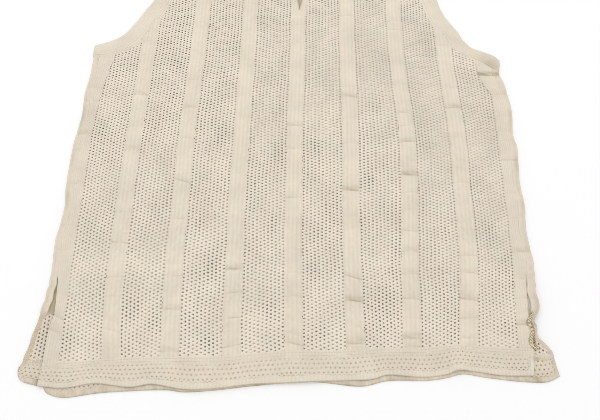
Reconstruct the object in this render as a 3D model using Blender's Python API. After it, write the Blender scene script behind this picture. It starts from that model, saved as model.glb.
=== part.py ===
"""A sleeveless knit top for a woman, laid flat on its back with the front up.

Front and back are cut from one knit: broad eyelet stripes with narrow plain bands between them,
and the plain bands are longer than the stripes, so they pucker up into rows of soft puffs.
A hem band closes the foot of each panel, the sides are open at the foot as two short vents, the
armholes have a band each, and the round neck has a band and a slit down the front.

Sizes in the tables are millimetres on the laid top: across from its middle, and up from the
lower edge of the front hem. The meshes are in metres, +Z up and +Y towards the neck.
"""
import math
import random

import bmesh
import bpy
import numpy as np

MM = 0.001

# The cloth, and how its layers lie on each other.
WALL = 1.2
SEAM_GAP = 0.3
PUFF_RISE = 1.75
FRONT_FLOOR = WALL + SEAM_GAP
FRONT_TOP = FRONT_FLOOR + WALL
FOLD_HEIGHT = WALL + SEAM_GAP / 2

# The laid top runs from the lowest point of the back hem to the high points of the shoulders.
HEM_FOOT = -16.2
SHOULDER_HIGH = 640.0
LAID_MIDDLE = (HEM_FOOT + SHOULDER_HIGH) / 2

# Shoulders and neck.
NECK_MIDDLE = 3.0
NECK_HALF_WIDTH = 82.0
NECK_BAND = 12.0
FRONT_DROP = 98.0
BACK_DROP = 22.0
SHOULDER_FALL = 0.29
SLIT_TIP = (4.8, 467.0)
SLIT_SPREAD = math.tan(math.radians(11.0))
NECK_STEPS = 16

# The back's side edge turns forward round the side, so the side seam lies this far in.
SIDE_SEAM_INSET = 8.0
VENT_TOP_LEFT = 107.0
VENT_TOP_RIGHT = 115.0

# The back's own side edge: it turns forward above the vents, and curls up in the right vent.
RIM_FADE = 8.0
CURL_FOOT = 30.0
CURL_RISE = 3.0
# Steps of the back from beyond its edge inwards: share of the way from the seam to the edge,
# millimetres beyond that, how far it is turned forward, and its share of the curl.
BACK_STEPS = (
    (1.0, 5.0, 0.5, 1.0),
    (1.0, 0.0, 0.6, 1.0),
    (0.7, 0.0, 1.0, 0.55),
    (0.0, 0.5, 1.0, 0.1),
    (0.0, 0.0, 0.0, 0.0),
    (0.0, -60.0, 0.0, 0.0),
)

# The back's outline at each side: height, across.
LEFT_SIDE = (
    (11.5, -259.0), (20.0, -256.5), (40.0, -253.0), (60.0, -250.0), (90.0, -246.7),
    (110.0, -246.7), (140.0, -249.0), (160.0, -247.5), (185.0, -246.7), (210.0, -250.0),
    (260.0, -251.0), (300.0, -248.2), (330.0, -250.0), (360.0, -248.2), (388.4, -248.6),
)
RIGHT_SIDE = (
    (33.0, 256.2), (41.0, 249.5), (47.0, 243.6), (57.5, 245.0), (63.5, 242.6), (77.0, 250.2),
    (91.0, 249.0), (104.0, 250.3), (125.0, 252.3), (160.0, 250.2), (190.0, 253.0),
    (220.0, 252.0), (262.0, 255.6), (282.0, 253.2), (315.0, 256.3), (350.0, 253.0),
    (364.0, 249.4), (371.4, 248.4),
)

# The front's own edge in the vents, below the side seams: height, across.
LEFT_VENT = ((15.0, -236.6), (46.0, -236.2), (65.0, -233.8), (90.0, -236.2))
RIGHT_VENT = ((34.0, 237.6), (48.0, 238.4), (66.0, 238.0), (81.0, 238.6), (100.0, 240.6))

# The hem bands, from left to right: lower edge across and height, seam across and height.
FRONT_HEM = (
    (-237.5, -6.0, -236.6, 15.0), (-212.0, -7.5, -212.0, 16.0), (-183.0, -3.0, -183.0, 18.5),
    (-150.0, -6.0, -150.0, 21.0), (-129.0, -3.0, -129.0, 21.5), (-98.0, -7.5, -98.0, 22.5),
    (-67.0, -6.0, -67.0, 23.0), (-35.0, -2.0, -35.0, 26.0), (0.0, 0.0, 0.0, 29.0),
    (37.0, 2.0, 37.0, 29.5), (78.0, 4.0, 78.0, 32.0), (96.0, 8.5, 96.0, 33.0),
    (128.0, 7.0, 128.0, 33.5), (150.0, 9.5, 150.0, 36.0), (164.0, 14.0, 164.0, 37.5),
    (181.0, 12.5, 181.0, 36.5), (205.0, 9.5, 205.0, 35.0), (234.5, 9.5, 237.6, 34.0),
)
BACK_HEM = (
    (-259.5, 8.0, -259.0, 11.5), (-258.0, 2.5, -254.5, 16.0), (-253.0, -2.0, -248.0, 18.5),
    (-241.0, -5.0, -239.0, 18.5), (-233.0, -6.5, -233.0, 17.5), (-227.0, -12.5, -227.0, 16.0),
    (-210.0, -16.0, -210.0, 14.0), (-175.0, -11.0, -175.0, 17.0), (-120.0, -7.7, -120.0, 20.0),
    (-98.0, -9.5, -98.0, 19.0), (-70.0, -8.0, -70.0, 21.0), (-35.0, -4.5, -35.0, 23.5),
    (0.0, -2.5, 0.0, 26.0), (37.0, -1.0, 37.0, 27.5), (70.0, -2.0, 70.0, 27.0),
    (96.0, 3.5, 96.0, 31.0), (130.0, 4.0, 130.0, 31.0), (150.0, 6.5, 150.0, 33.5),
    (168.0, 10.5, 168.0, 36.0), (190.0, 7.5, 190.0, 34.0), (220.0, 4.5, 220.0, 31.0),
    (245.0, 4.0, 244.0, 30.0), (259.4, 9.5, 256.2, 32.7),
)

# The armhole bands, from the underarm up: free edge across and height, seam across and height.
LEFT_ARMHOLE = (
    (-248.7, 404.3, -248.2, 389.0), (-240.0, 407.3, -236.0, 389.3), (-230.0, 411.5, -222.0, 393.0),
    (-221.0, 416.7, -208.5, 400.0), (-213.0, 425.0, -196.0, 409.0), (-206.5, 436.0, -186.5, 421.5),
    (-200.0, 448.0, -179.0, 436.0), (-193.5, 462.0, -172.5, 453.0), (-184.0, 480.0, -165.0, 475.0),
    (-177.5, 505.0, -159.0, 501.0), (-173.5, 540.0, -154.6, 538.0), (-173.0, 575.0, -154.0, 575.0),
    (-175.6, 610.0, -156.6, 615.5),
)
RIGHT_ARMHOLE = (
    (250.6, 387.5, 248.0, 372.0), (245.5, 393.7, 239.5, 377.0), (233.0, 400.0, 228.0, 386.5),
    (219.0, 406.5, 210.5, 396.0), (210.0, 418.0, 196.0, 407.0), (204.0, 432.0, 186.0, 421.0),
    (195.5, 447.0, 178.0, 437.0), (188.0, 463.0, 171.0, 455.0), (183.0, 483.0, 165.5, 479.0),
    (177.5, 508.0, 159.5, 504.0), (174.0, 540.0, 155.0, 538.0), (173.5, 575.0, 154.5, 575.0),
    (176.0, 610.0, 157.0, 615.0),
)

# The plain bands of the front, from left to right: across at each level above the hem, half the
# width, and the heights of the creases that show. They close up towards the narrower hem.
BAND_LEVELS = (20.0, 60.0, 130.0, 200.0, 280.0, 400.0, 640.0)
BANDS = (
    ((-233.5, -235.5, -239.0, -241.5, -244.0, -246.0, -248.0), 10.0,
     (42, 58, 76, 132, 160, 210, 275, 320, 339)),
    ((-171.0, -176.5, -180.5, -182.0, -182.8, -182.0, -182.5), 7.2,
     (51, 83, 102, 141, 176, 254, 330, 424, 468)),
    ((-115.2, -117.5, -121.0, -121.0, -122.5, -120.0, -120.5), 7.4,
     (28.5, 70, 105, 118, 169, 212, 265, 314, 353)),
    ((-54.8, -57.0, -58.4, -59.6, -59.2, -58.4, -59.0), 7.2,
     (34, 61, 88, 112, 141, 240, 330, 384)),
    ((6.0, 4.2, 2.4, 2.4, 1.8, 3.2, 3.4), 7.2,
     (38, 60, 85, 110, 136, 196, 226, 257, 289)),
    ((66.2, 64.8, 64.2, 64.2, 65.8, 64.8, 66.0), 7.4,
     (38, 55, 81, 105, 160, 206, 244, 331, 346, 456)),
    ((118.0, 121.6, 124.2, 128.5, 130.8, 125.5, 126.5), 7.2,
     (38, 64, 83, 109, 159, 204, 226, 269, 290, 310, 434)),
    ((173.0, 178.0, 185.2, 186.6, 188.6, 184.5, 184.5), 7.4,
     (45, 65, 84, 111, 131, 217, 276, 345, 409, 460)),
    ((235.4, 237.0, 242.5, 245.0, 246.5, 248.0, 248.0), 10.0,
     (41, 56, 70, 86, 107, 175, 247, 271, 336, 364, 390)),
)
PUFFS_IN_BAND = 18
BLANK_FOOT = 8.0
BLANK_HEAD = 652.0
FAINT_CREASE = 0.55
LONG_PUFF = 34.0

# One puff lengthwise: share of its length, share of its rise. Then a band crosswise.
PUFF_ROWS = ((0.0, 0.0), (0.15, 0.72), (0.5, 1.0), (0.85, 0.78))
BAND_COLUMNS = ((-1.0, 0.0), (-0.55, 0.85), (0.0, 1.0), (0.55, 0.85), (1.0, 0.0))

# The largest soft folds of the front: across, height, half width, half length, rise.
SOFT_FOLDS = (
    (163.0, 14.0, 16.0, 70.0, 1.3),
    (240.0, 380.0, 13.0, 15.0, 1.3),
    (-225.0, 62.0, 12.0, 22.0, 0.8),
    (214.0, 56.0, 18.0, 14.0, 0.9),
)

# A strip of cloth crosswise, from its free edge to its seam: share of its width, rise.
HEM_SECTION = ((0.0, -0.35), (0.1, 0.15), (0.5, 0.3), (0.85, 0.25), (1.0, -0.1))
BAND_SECTION = ((0.0, -0.35), (0.15, 0.2), (0.5, 0.45), (0.85, 0.25), (1.0, -0.1))
FOLD_TURNS = (45.0, 90.0, 135.0)

CREAM = (0.80, 0.71, 0.56, 1.0)
CREAM_BAND = (0.83, 0.75, 0.61, 1.0)


def smooth(points, steps):
    """A smooth line through the points, with some steps between each two."""
    table = np.array(points, dtype=float)
    table = np.vstack((2 * table[0] - table[1], table, 2 * table[-1] - table[-2]))
    line = []
    for k in range(1, len(table) - 2):
        before, start, end, after = table[k - 1:k + 3]
        for step in range(steps):
            t = step / steps
            pull = (end - before) * t + (2 * before - 5 * start + 4 * end - after) * t ** 2
            line.append(start + (pull + (3 * (start - end) + after - before) * t ** 3) / 2)
    line.append(table[-2])
    return np.array(line)


def across_at(side, height):
    """Where a side's outline is at a height."""
    line = smooth(side, 4)
    return float(np.interp(height, line[:, 0], line[:, 1]))


def moved_aside(line, distance):
    """The line moved to its left by a distance."""
    along = np.gradient(line, axis=0)
    along /= np.linalg.norm(along, axis=1)[:, None]
    return line + distance * np.stack((-along[:, 1], along[:, 0]), axis=1)


def shoulder_height(across):
    """The shoulder line falls from the neck to the armhole."""
    return SHOULDER_HIGH - SHOULDER_FALL * (abs(across - NECK_MIDDLE) - NECK_HALF_WIDTH)


def neck_depth(drop, inset):
    """How far the neckline drops below its own ends on the shoulder line."""
    head = shoulder_height(NECK_MIDDLE + NECK_HALF_WIDTH + inset)
    return drop + inset - (SHOULDER_HIGH - head)


def neck_point(side, turn, drop, inset):
    """A point of the neckline: turn is 0 at the middle and 90 degrees at the shoulder."""
    half = NECK_HALF_WIDTH + inset
    angle = math.radians(turn)
    head = shoulder_height(NECK_MIDDLE + half)
    across = NECK_MIDDLE + side * half * math.sin(angle)
    return (across, head - neck_depth(drop, inset) * math.cos(angle))


def slit_turn(side, inset):
    """The turn at which the neckline meets the slit's edge."""
    foot = SHOULDER_HIGH - FRONT_DROP - inset
    edge = SLIT_TIP[0] + side * SLIT_SPREAD * (foot - SLIT_TIP[1])
    return math.degrees(math.asin(side * (edge - NECK_MIDDLE) / (NECK_HALF_WIDTH + inset)))


def soft_rise(across, height):
    """How far the largest folds lift the front at a point."""
    rise = 0.0
    for middle, level, half_width, half_length, top in SOFT_FOLDS:
        reach = math.hypot((across - middle) / half_width, (height - level) / half_length)
        if reach < 1.0:
            rise += top * (0.5 + 0.5 * math.cos(math.pi * reach))
    return rise


def material(name, colour):
    """Matt cotton knit."""
    cotton = bpy.data.materials.new(name)
    cotton.use_nodes = True
    shader = cotton.node_tree.nodes["Principled BSDF"]
    shader.inputs["Base Color"].default_value = colour
    shader.inputs["Roughness"].default_value = 0.9
    shader.inputs["Metallic"].default_value = 0.0
    return cotton


def add_piece(name, bm, cloth):
    """Puts a finished mesh into the top's collection, in metres about its middle."""
    bmesh.ops.translate(bm, verts=bm.verts, vec=(0.0, -LAID_MIDDLE, 0.0))
    bmesh.ops.scale(bm, verts=bm.verts, vec=(MM, MM, MM))
    bmesh.ops.recalc_face_normals(bm, faces=bm.faces)
    mesh = bpy.data.meshes.new(name)
    bm.to_mesh(mesh)
    bm.free()
    mesh.materials.append(cloth)
    piece = bpy.data.objects.new(name, mesh)
    top_pieces.objects.link(piece)
    return piece


def cut_out(piece, outline):
    """Cuts a panel out of its blank along a flat outline."""
    curve = bpy.data.curves.new(piece.name + "_outline", "CURVE")
    curve.dimensions = "2D"
    curve.fill_mode = "BOTH"
    curve.extrude = 20.0 * MM
    spline = curve.splines.new("POLY")
    spline.points.add(len(outline) - 1)
    for point, (across, height) in zip(spline.points, outline):
        point.co = (across * MM, (height - LAID_MIDDLE) * MM, 0.0, 1.0)
    spline.use_cyclic_u = True
    flat = bpy.data.objects.new(curve.name, curve)
    cutters.objects.link(flat)
    solid = bpy.data.meshes.new_from_object(flat.evaluated_get(bpy.context.evaluated_depsgraph_get()))
    bpy.data.objects.remove(flat)
    bm = bmesh.new()
    bm.from_mesh(solid)
    bmesh.ops.remove_doubles(bm, verts=bm.verts, dist=0.00001)
    bmesh.ops.recalc_face_normals(bm, faces=bm.faces)
    bm.to_mesh(solid)
    bm.free()
    cutter = bpy.data.objects.new(piece.name + "_cutter", solid)
    cutter.display_type = "WIRE"
    cutter.hide_render = True
    cutters.objects.link(cutter)
    cut = piece.modifiers.new("cut out", "BOOLEAN")
    cut.operation = "INTERSECT"
    cut.object = cutter


def wall_blank(columns, rows, place):
    """A wall of cloth over a grid: place gives across, height, underside and top at a crossing."""
    bm = bmesh.new()
    bmesh.ops.create_grid(bm, x_segments=columns - 1, y_segments=rows - 1, size=0.5)
    top_height = bm.verts.layers.float.new("top height")
    for vert in bm.verts:
        column = round((vert.co.x + 0.5) * (columns - 1))
        row = round((vert.co.y + 0.5) * (rows - 1))
        across, height, under, top = place(column, row)
        vert.co = (across, height, under)
        vert[top_height] = top
    bmesh.ops.triangulate(bm, faces=bm.faces)
    grown = bmesh.ops.extrude_face_region(bm, geom=bm.faces[:], use_keep_orig=True)
    for item in grown["geom"]:
        if isinstance(item, bmesh.types.BMVert):
            item.co.z = item[top_height]
    return bm


def crease_lines(creases):
    """The crease heights of a band, with faint creases added in its widest gaps."""
    lines = [BLANK_FOOT, *creases, BLANK_HEAD]
    faint = [False] * len(lines)
    while len(lines) <= PUFFS_IN_BAND:
        gaps = [upper - lower for lower, upper in zip(lines, lines[1:])]
        widest = gaps.index(max(gaps))
        lines.insert(widest + 1, lines[widest] + 0.46 * gaps[widest])
        faint.insert(widest + 1, True)
    return lines, faint


def puff_rows(creases, chance):
    """The rows of one plain band, as height and rise, from crease to crease."""
    lines, faint = crease_lines(creases)
    rows = []
    for k in range(PUFFS_IN_BAND):
        length = lines[k + 1] - lines[k]
        rise = PUFF_RISE * min(1.0, 0.45 + 0.55 * length / LONG_PUFF) * chance.uniform(0.75, 1.0)
        for share, height_share in PUFF_ROWS:
            floor = FAINT_CREASE * rise * (1.0 - share) if faint[k] else 0.0
            rows.append((lines[k] + share * length, max(rise * height_share, floor)))
    rows.append((lines[-1], 0.0))
    return rows


def front_columns():
    """The front's grid lines: the rows of heights and rises along each, with its across."""
    chance = random.Random(7)
    lines = []
    for middles, half, creases in BANDS:
        rows = puff_rows(creases, chance)
        band = []
        for offset, share in BAND_COLUMNS:
            column = []
            for height, rise in rows:
                middle = float(np.interp(height, BAND_LEVELS, middles))
                column.append((middle + offset * half, height, share * rise))
            band.append(column)
        if lines:
            left = np.array(lines[-1])
            lines.append(((left + np.array(band[0])) / 2).tolist())
        lines.extend(band)
    return lines


def armhole_seam(rows, side):
    """The panel's edge at an armhole, from the side seam up to the shoulder."""
    line = smooth(rows, 2)[:, 2:4]
    return moved_aside(line, side * SEAM_GAP)


def neck_seam(side, drop, start):
    """The panel's edge at the neck, from the shoulder down to the start."""
    turns = np.linspace(90.0, start, NECK_STEPS)
    return [neck_point(side, turn, drop, NECK_BAND + SEAM_GAP) for turn in turns]


def shoulder_corner(rows):
    """Where the armhole seam meets the shoulder line."""
    across = rows[-1][2] - math.copysign(SEAM_GAP, rows[-1][2])
    return (across, shoulder_height(across))


def panel_outline(left_side, right_side, hem, neck):
    """A panel's outline, round from the left of its hem seam."""
    foot = smooth(hem, 2)[:, 2:4] + (0.0, SEAM_GAP)
    left_edge = [(across, height) for height, across in smooth(left_side, 3)]
    right_edge = [(across, height) for height, across in smooth(right_side, 3)]
    left_arm = [point for point in armhole_seam(LEFT_ARMHOLE, -1) if point[0] > left_edge[-1][0] + 1.0]
    right_arm = [point for point in armhole_seam(RIGHT_ARMHOLE, 1) if point[0] < right_edge[-1][0] - 1.0]
    outline = [*foot, *right_edge[1:], *right_arm[:-1], shoulder_corner(RIGHT_ARMHOLE)]
    outline += [*neck, shoulder_corner(LEFT_ARMHOLE), *left_arm[-2::-1], *left_edge[:0:-1]]
    return outline


def front_side(vent, side, vent_top, inward, seam_end):
    """The front's side: its own edge in the vent, and above that the side seam."""
    seam = [(height, across + inward * SIDE_SEAM_INSET) for height, across in side
            if vent_top < height < seam_end - 6.0]
    return (*vent, *seam, (seam_end, across_at(side, seam_end) + inward * SIDE_SEAM_INSET))


def make_front_panel(cloth):
    """Front: puffed plain bands between flat eyelet stripes, cut out round neck and armholes."""
    lines = front_columns()

    def place(column, row):
        across, height, rise = lines[column][row]
        return across, height, FRONT_FLOOR, FRONT_TOP + rise + soft_rise(across, height)

    blank = wall_blank(len(lines), len(lines[0]), place)
    panel = add_piece("front_panel", blank, cloth)
    slit_left = neck_seam(-1, FRONT_DROP, slit_turn(-1, NECK_BAND))
    slit_right = neck_seam(1, FRONT_DROP, slit_turn(1, NECK_BAND))
    neck = [*slit_right, SLIT_TIP, *slit_left[::-1]]
    cut_out(panel, panel_outline(FRONT_LEFT, FRONT_RIGHT, FRONT_HEM, neck))


def side_step(height, on_right, step):
    """A point of the back near one side: across, underside and top."""
    side = RIGHT_SIDE if on_right else LEFT_SIDE
    vent_top = VENT_TOP_RIGHT if on_right else VENT_TOP_LEFT
    outward = 1.0 if on_right else -1.0
    seam = across_at(FRONT_RIGHT if on_right else FRONT_LEFT, height) + outward * SEAM_GAP
    reach = abs(across_at(side, height) - seam)
    share, spare, turned, lifted = step
    turned *= np.clip((height - vent_top) / RIM_FADE, 0.0, 1.0)
    curl = 0.0
    if on_right and CURL_FOOT < height < vent_top:
        wave = math.sin(math.pi * (height - CURL_FOOT) / (vent_top - CURL_FOOT))
        curl = lifted * CURL_RISE * wave ** 0.5
    return seam + outward * (share * reach + spare), curl, curl + WALL + turned * (FRONT_TOP - WALL)


def make_back_panel(cloth):
    """Back: flat underneath, its side edges turned forward against the side seams."""
    heights = [*np.arange(5.0, 125.0, 5.0), *np.arange(125.0, 400.0, 12.5), 420.0, 520.0, 652.0]
    last = 2 * len(BACK_STEPS) - 1

    def place(column, row):
        on_right = column >= len(BACK_STEPS)
        step = BACK_STEPS[last - column if on_right else column]
        across, under, top = side_step(heights[row], on_right, step)
        return across, heights[row], under, top

    panel = add_piece("back_panel", wall_blank(last + 1, len(heights), place), cloth)
    neck = [*neck_seam(1, BACK_DROP, 0.0), *neck_seam(-1, BACK_DROP, 0.0)[-2::-1]]
    cut_out(panel, panel_outline(LEFT_SIDE, RIGHT_SIDE, BACK_HEM, neck))


def make_strip(name, stations, section, cloth, closed=False):
    """A narrow strip of cloth along its stations.

    A station has its free edge, its seam, the way it runs, and how far the strip has turned over:
    0 on the front, 180 degrees on the back.
    """
    bm = bmesh.new()
    rings = []
    for edge, seam, along, turn in stations:
        angle = math.radians(turn)
        facing = max(0.0, math.cos(angle))
        ring = []
        inner = [(share, SEAM_GAP / 2) for share, _ in section]
        outer = [(share, SEAM_GAP / 2 + WALL + facing * rise) for share, rise in section]
        for share, radius in [*inner, *outer[::-1]]:
            across, height = np.array(edge) + share * (np.array(seam) - np.array(edge))
            if radius > SEAM_GAP:
                radius += facing * soft_rise(across, height)
            swing = radius * math.sin(angle)
            ring.append(bm.verts.new((
                across + swing * along[0],
                height + swing * along[1],
                FOLD_HEIGHT + radius * math.cos(angle),
            )))
        rings.append(ring)
    for k in range(len(rings) - (0 if closed else 1)):
        here, ahead = rings[k], rings[(k + 1) % len(rings)]
        for j in range(len(here)):
            after = (j + 1) % len(here)
            bm.faces.new((here[j], here[after], ahead[after], ahead[j]))
    if not closed:
        bm.faces.new(rings[0])
        bm.faces.new(rings[-1])
    return add_piece(name, bm, cloth)


def flat_stations(rows, turn):
    """Stations of a strip that lies in one layer."""
    return [(row[0:2], row[2:4], (0.0, 0.0), turn) for row in rows]


def fold_stations(row, along, turns):
    """Stations round a fold, from one layer to the other."""
    return [(row[0:2], row[2:4], along, turn) for turn in turns]


def make_armhole_band(name, rows, outward, cloth):
    """An armhole band: up the front, over the shoulder, down the back and round the underarm."""
    line = smooth(rows, 2)
    stations = flat_stations(line, 0.0)
    stations += fold_stations(line[-1], (0.0, 1.0), FOLD_TURNS)
    stations += flat_stations(line[::-1], 180.0)
    stations += fold_stations(line[0], (outward, 0.0), FOLD_TURNS[::-1])
    make_strip(name, stations, BAND_SECTION, cloth, closed=True)


def fold_turn(drop, inset):
    """The turn at which the neck band starts to fold, so that its outside ends on the shoulder."""
    return math.degrees(math.acos(FOLD_HEIGHT / neck_depth(drop, inset)))


def neck_rows(side, drop, edge_start, seam_start):
    """Edge and seam of the neck band from its start out to its fold at the shoulder."""
    rows = []
    for share in np.linspace(0.0, 1.0, NECK_STEPS):
        edge_turn = edge_start + share * (fold_turn(drop, 0.0) - edge_start)
        seam_turn = seam_start + share * (fold_turn(drop, NECK_BAND) - seam_start)
        edge = neck_point(side, edge_turn, drop, 0.0)
        rows.append((*edge, *neck_point(side, seam_turn, drop, NECK_BAND)))
    return np.array(rows)


def make_neck_band(cloth):
    """The neck band, from one edge of the slit round the back of the neck to the other."""
    over = (0.0, 1.0)
    left = neck_rows(-1, FRONT_DROP, slit_turn(-1, 0.0), slit_turn(-1, NECK_BAND))
    right = neck_rows(1, FRONT_DROP, slit_turn(1, 0.0), slit_turn(1, NECK_BAND))
    back_left = neck_rows(-1, BACK_DROP, 0.0, 0.0)
    back_right = neck_rows(1, BACK_DROP, 0.0, 0.0)
    stations = flat_stations(left, 0.0)
    stations += fold_stations(left[-1], over, FOLD_TURNS)
    stations += flat_stations(back_left[::-1], 180.0)
    stations += flat_stations(back_right[1:], 180.0)
    stations += fold_stations(right[-1], over, FOLD_TURNS[::-1])
    stations += flat_stations(right[::-1], 0.0)
    make_strip("neck_band", stations, BAND_SECTION, cloth)


for leftover in list(bpy.data.objects):
    bpy.data.objects.remove(leftover)

top_pieces = bpy.data.collections.new("knit_tank_top")
cutters = bpy.data.collections.new("cutters")
bpy.context.scene.collection.children.link(top_pieces)
bpy.context.scene.collection.children.link(cutters)

FRONT_LEFT = front_side(LEFT_VENT, LEFT_SIDE, VENT_TOP_LEFT, 1, 388.7)
FRONT_RIGHT = front_side(RIGHT_VENT, RIGHT_SIDE, VENT_TOP_RIGHT, -1, 375.7)

eyelet_knit = material("eyelet knit", CREAM)
plain_knit = material("plain knit", CREAM_BAND)

make_back_panel(eyelet_knit)
make_front_panel(eyelet_knit)
make_strip("back_hem_band", flat_stations(smooth(BACK_HEM, 2), 180.0), HEM_SECTION, plain_knit)
make_strip("front_hem_band", flat_stations(smooth(FRONT_HEM, 2), 0.0), HEM_SECTION, plain_knit)
make_armhole_band("armhole_band_left", LEFT_ARMHOLE, -1.0, plain_knit)
make_armhole_band("armhole_band_right", RIGHT_ARMHOLE, 1.0, plain_knit)
make_neck_band(plain_knit)
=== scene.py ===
import math

import bmesh
import bpy
import numpy as np
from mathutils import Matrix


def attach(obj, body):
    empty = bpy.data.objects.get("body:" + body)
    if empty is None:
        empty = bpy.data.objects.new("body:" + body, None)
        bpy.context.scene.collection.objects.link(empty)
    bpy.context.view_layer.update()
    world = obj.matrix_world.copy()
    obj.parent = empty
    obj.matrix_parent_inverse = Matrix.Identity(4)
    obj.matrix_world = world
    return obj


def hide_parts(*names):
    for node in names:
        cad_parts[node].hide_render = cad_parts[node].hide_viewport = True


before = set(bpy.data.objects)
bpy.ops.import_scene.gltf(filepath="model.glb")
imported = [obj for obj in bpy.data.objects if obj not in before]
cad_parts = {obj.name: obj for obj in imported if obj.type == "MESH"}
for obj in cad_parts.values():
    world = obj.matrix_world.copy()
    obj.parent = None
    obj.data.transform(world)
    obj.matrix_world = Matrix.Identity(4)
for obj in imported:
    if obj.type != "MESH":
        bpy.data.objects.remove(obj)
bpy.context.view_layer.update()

# ---------------------------------------------------------------------------
# The table, the light and the camera.
# The top lies flat on a white table and is seen from its hem, at a slant.
# A broad soft light stands beyond the neck, and a white room fills the shadows.
# ---------------------------------------------------------------------------
MM = 0.001
HEM_FOOT = -16.2
SHOULDER_HIGH = 640.0
LAID_MIDDLE = (HEM_FOOT + SHOULDER_HIGH) / 2

CAMERA_PLACE = (0.01246, -0.39474, 0.5686)
CAMERA_TILT = math.radians(25.0)
CAMERA_TURN = math.radians(0.754)
CAMERA_LENS = 34.69
CAMERA_BLUR = 0.75
FILM_WIDTH = 36.0
NEAREST = 0.01
TABLE_HALF = 3.0
TABLE_WHITE = (0.93, 0.93, 0.93, 1.0)
TABLE_ROUGHNESS = 0.9
ROOM_LIGHT = 0.965
WINDOW_LIGHT = 11.5
WINDOW_PLACE = (-0.35, 1.7, 1.5)
WINDOW_SIZE = 1.8

scene = bpy.context.scene
scene.view_settings.view_transform = "Standard"

camera_lens = bpy.data.cameras.new("camera")
camera_lens.lens = CAMERA_LENS
camera_lens.sensor_width = FILM_WIDTH
camera_lens.clip_start = NEAREST
camera = bpy.data.objects.new("camera", camera_lens)
camera.location = CAMERA_PLACE
camera.rotation_euler = (CAMERA_TILT, 0.0, CAMERA_TURN)
scene.collection.objects.link(camera)
scene.camera = camera
scene.cycles.filter_width = CAMERA_BLUR

room = bpy.data.worlds.new("white_room")
room.use_nodes = True
room_shader = room.node_tree.nodes["Background"]
room_shader.inputs["Color"].default_value = (1.0, 1.0, 1.0, 1.0)
room_shader.inputs["Strength"].default_value = ROOM_LIGHT
scene.world = room

window_light = bpy.data.lights.new("window_light", "AREA")
window_light.energy = WINDOW_LIGHT
window_light.size = WINDOW_SIZE
window = bpy.data.objects.new("window_light", window_light)
window.location = WINDOW_PLACE
window.rotation_euler = (
    math.atan2(math.hypot(WINDOW_PLACE[0], WINDOW_PLACE[1]), WINDOW_PLACE[2]),
    0.0,
    math.atan2(-WINDOW_PLACE[0], WINDOW_PLACE[1]) + math.pi,
)
scene.collection.objects.link(window)

table_paint = bpy.data.materials.new("table_paint")
table_paint.use_nodes = True
table_shader = table_paint.node_tree.nodes["Principled BSDF"]
table_shader.inputs["Base Color"].default_value = TABLE_WHITE
table_shader.inputs["Roughness"].default_value = TABLE_ROUGHNESS
bpy.ops.mesh.primitive_plane_add(size=2 * TABLE_HALF)
table = bpy.context.object
table.name = "table"
table.data.materials.append(table_paint)


# ---------------------------------------------------------------------------
# The eyelet stripes of the front.
# Eight stripes of cotton net, eleven holes wide, run from the hem to the shoulders.
# The net is knitted: each hole has a rounded rim of yarn, and the next row sits half a hole over.
# ---------------------------------------------------------------------------
# The layers of the laid cloth, and how far the spare cloth reaches under a band.
WALL = 1.2
LAYER_GAP = 0.3
FRONT_TOP = 2 * WALL + LAYER_GAP
LOWEST = 0.04
SPARE = 2.5

# The net: its holes and how they vary, its rims, and its place between the bands.
HOLE_COLUMNS = 11
HOLE_ACROSS = 4.33
HOLE_ALONG = 3.8
HOLE_WIDTH = 1.5
HOLE_LENGTH = 1.15
HOLE_SPREAD = 0.18
HOLE_GROWTH = 1.15
HOLE_WANDER = 0.22
SIZE_SEED = 11
WANDER_SEED = 5
GROWTH_POWER = 1.7
MOST_GROWTH = 0.62
AT_HOLE = 0.9
WELD = 0.02
RIM_CREST = 0.1
RIM_DROP = 0.85
STRIPE_INSET = 1.2
NET_FOOT = 10.0
NET_ROWS = 166
NET_SINK = 0.12
PAST_SIDES = 400.0
HEM_MEAN = 27.0
HEM_FADE = 190.0

# The cotton: tints, the darker tan that is mixed in, mostly as painted shade, the painted shade and size
# of its loops, its dents and its surface.
CREAM_TAN = (0.45, 0.37, 0.25, 1.0)
WARM_TINT = (1.03, 0.985, 0.955, 1.0)
COOL_TINT = (0.985, 1.005, 0.995, 1.0)
COLUMN_SHADE = 0.03
LOOP_SHADE = 0.06
LOOP_DEPTH = 0.0002
NET_WALE = 0.00108
KNIT_COURSE = 0.00095
DENT_SCALE = 150.0
DENT_DEPTH = 0.0017
COTTON_SURFACE = (
    ("Roughness", 0.92), ("Specular IOR Level", 0.2), ("Sheen Weight", 0.15), ("Sheen Roughness", 0.6))

# The middles of the plain bands at each level above the hem, and half of each band's width.
BAND_LEVELS = (20.0, 60.0, 130.0, 200.0, 280.0, 400.0, 640.0)
BAND_MIDDLES = (
    (-233.5, -235.5, -239.0, -241.5, -244.0, -246.0, -248.0),
    (-171.0, -176.5, -180.5, -182.0, -182.8, -182.0, -182.5),
    (-115.2, -117.5, -121.0, -121.0, -122.5, -120.0, -120.5),
    (-54.8, -57.0, -58.4, -59.6, -59.2, -58.4, -59.0),
    (6.0, 4.2, 2.4, 2.4, 1.8, 3.2, 3.4),
    (66.2, 64.8, 64.2, 64.2, 65.8, 64.8, 66.0),
    (118.0, 121.6, 124.2, 128.5, 130.8, 125.5, 126.5),
    (173.0, 178.0, 185.2, 186.6, 188.6, 184.5, 184.5),
    (235.4, 237.0, 242.5, 245.0, 246.5, 248.0, 248.0),
)
BAND_HALVES = (10.0, 7.2, 7.4, 7.2, 7.2, 7.4, 7.2, 7.4, 10.0)

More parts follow.
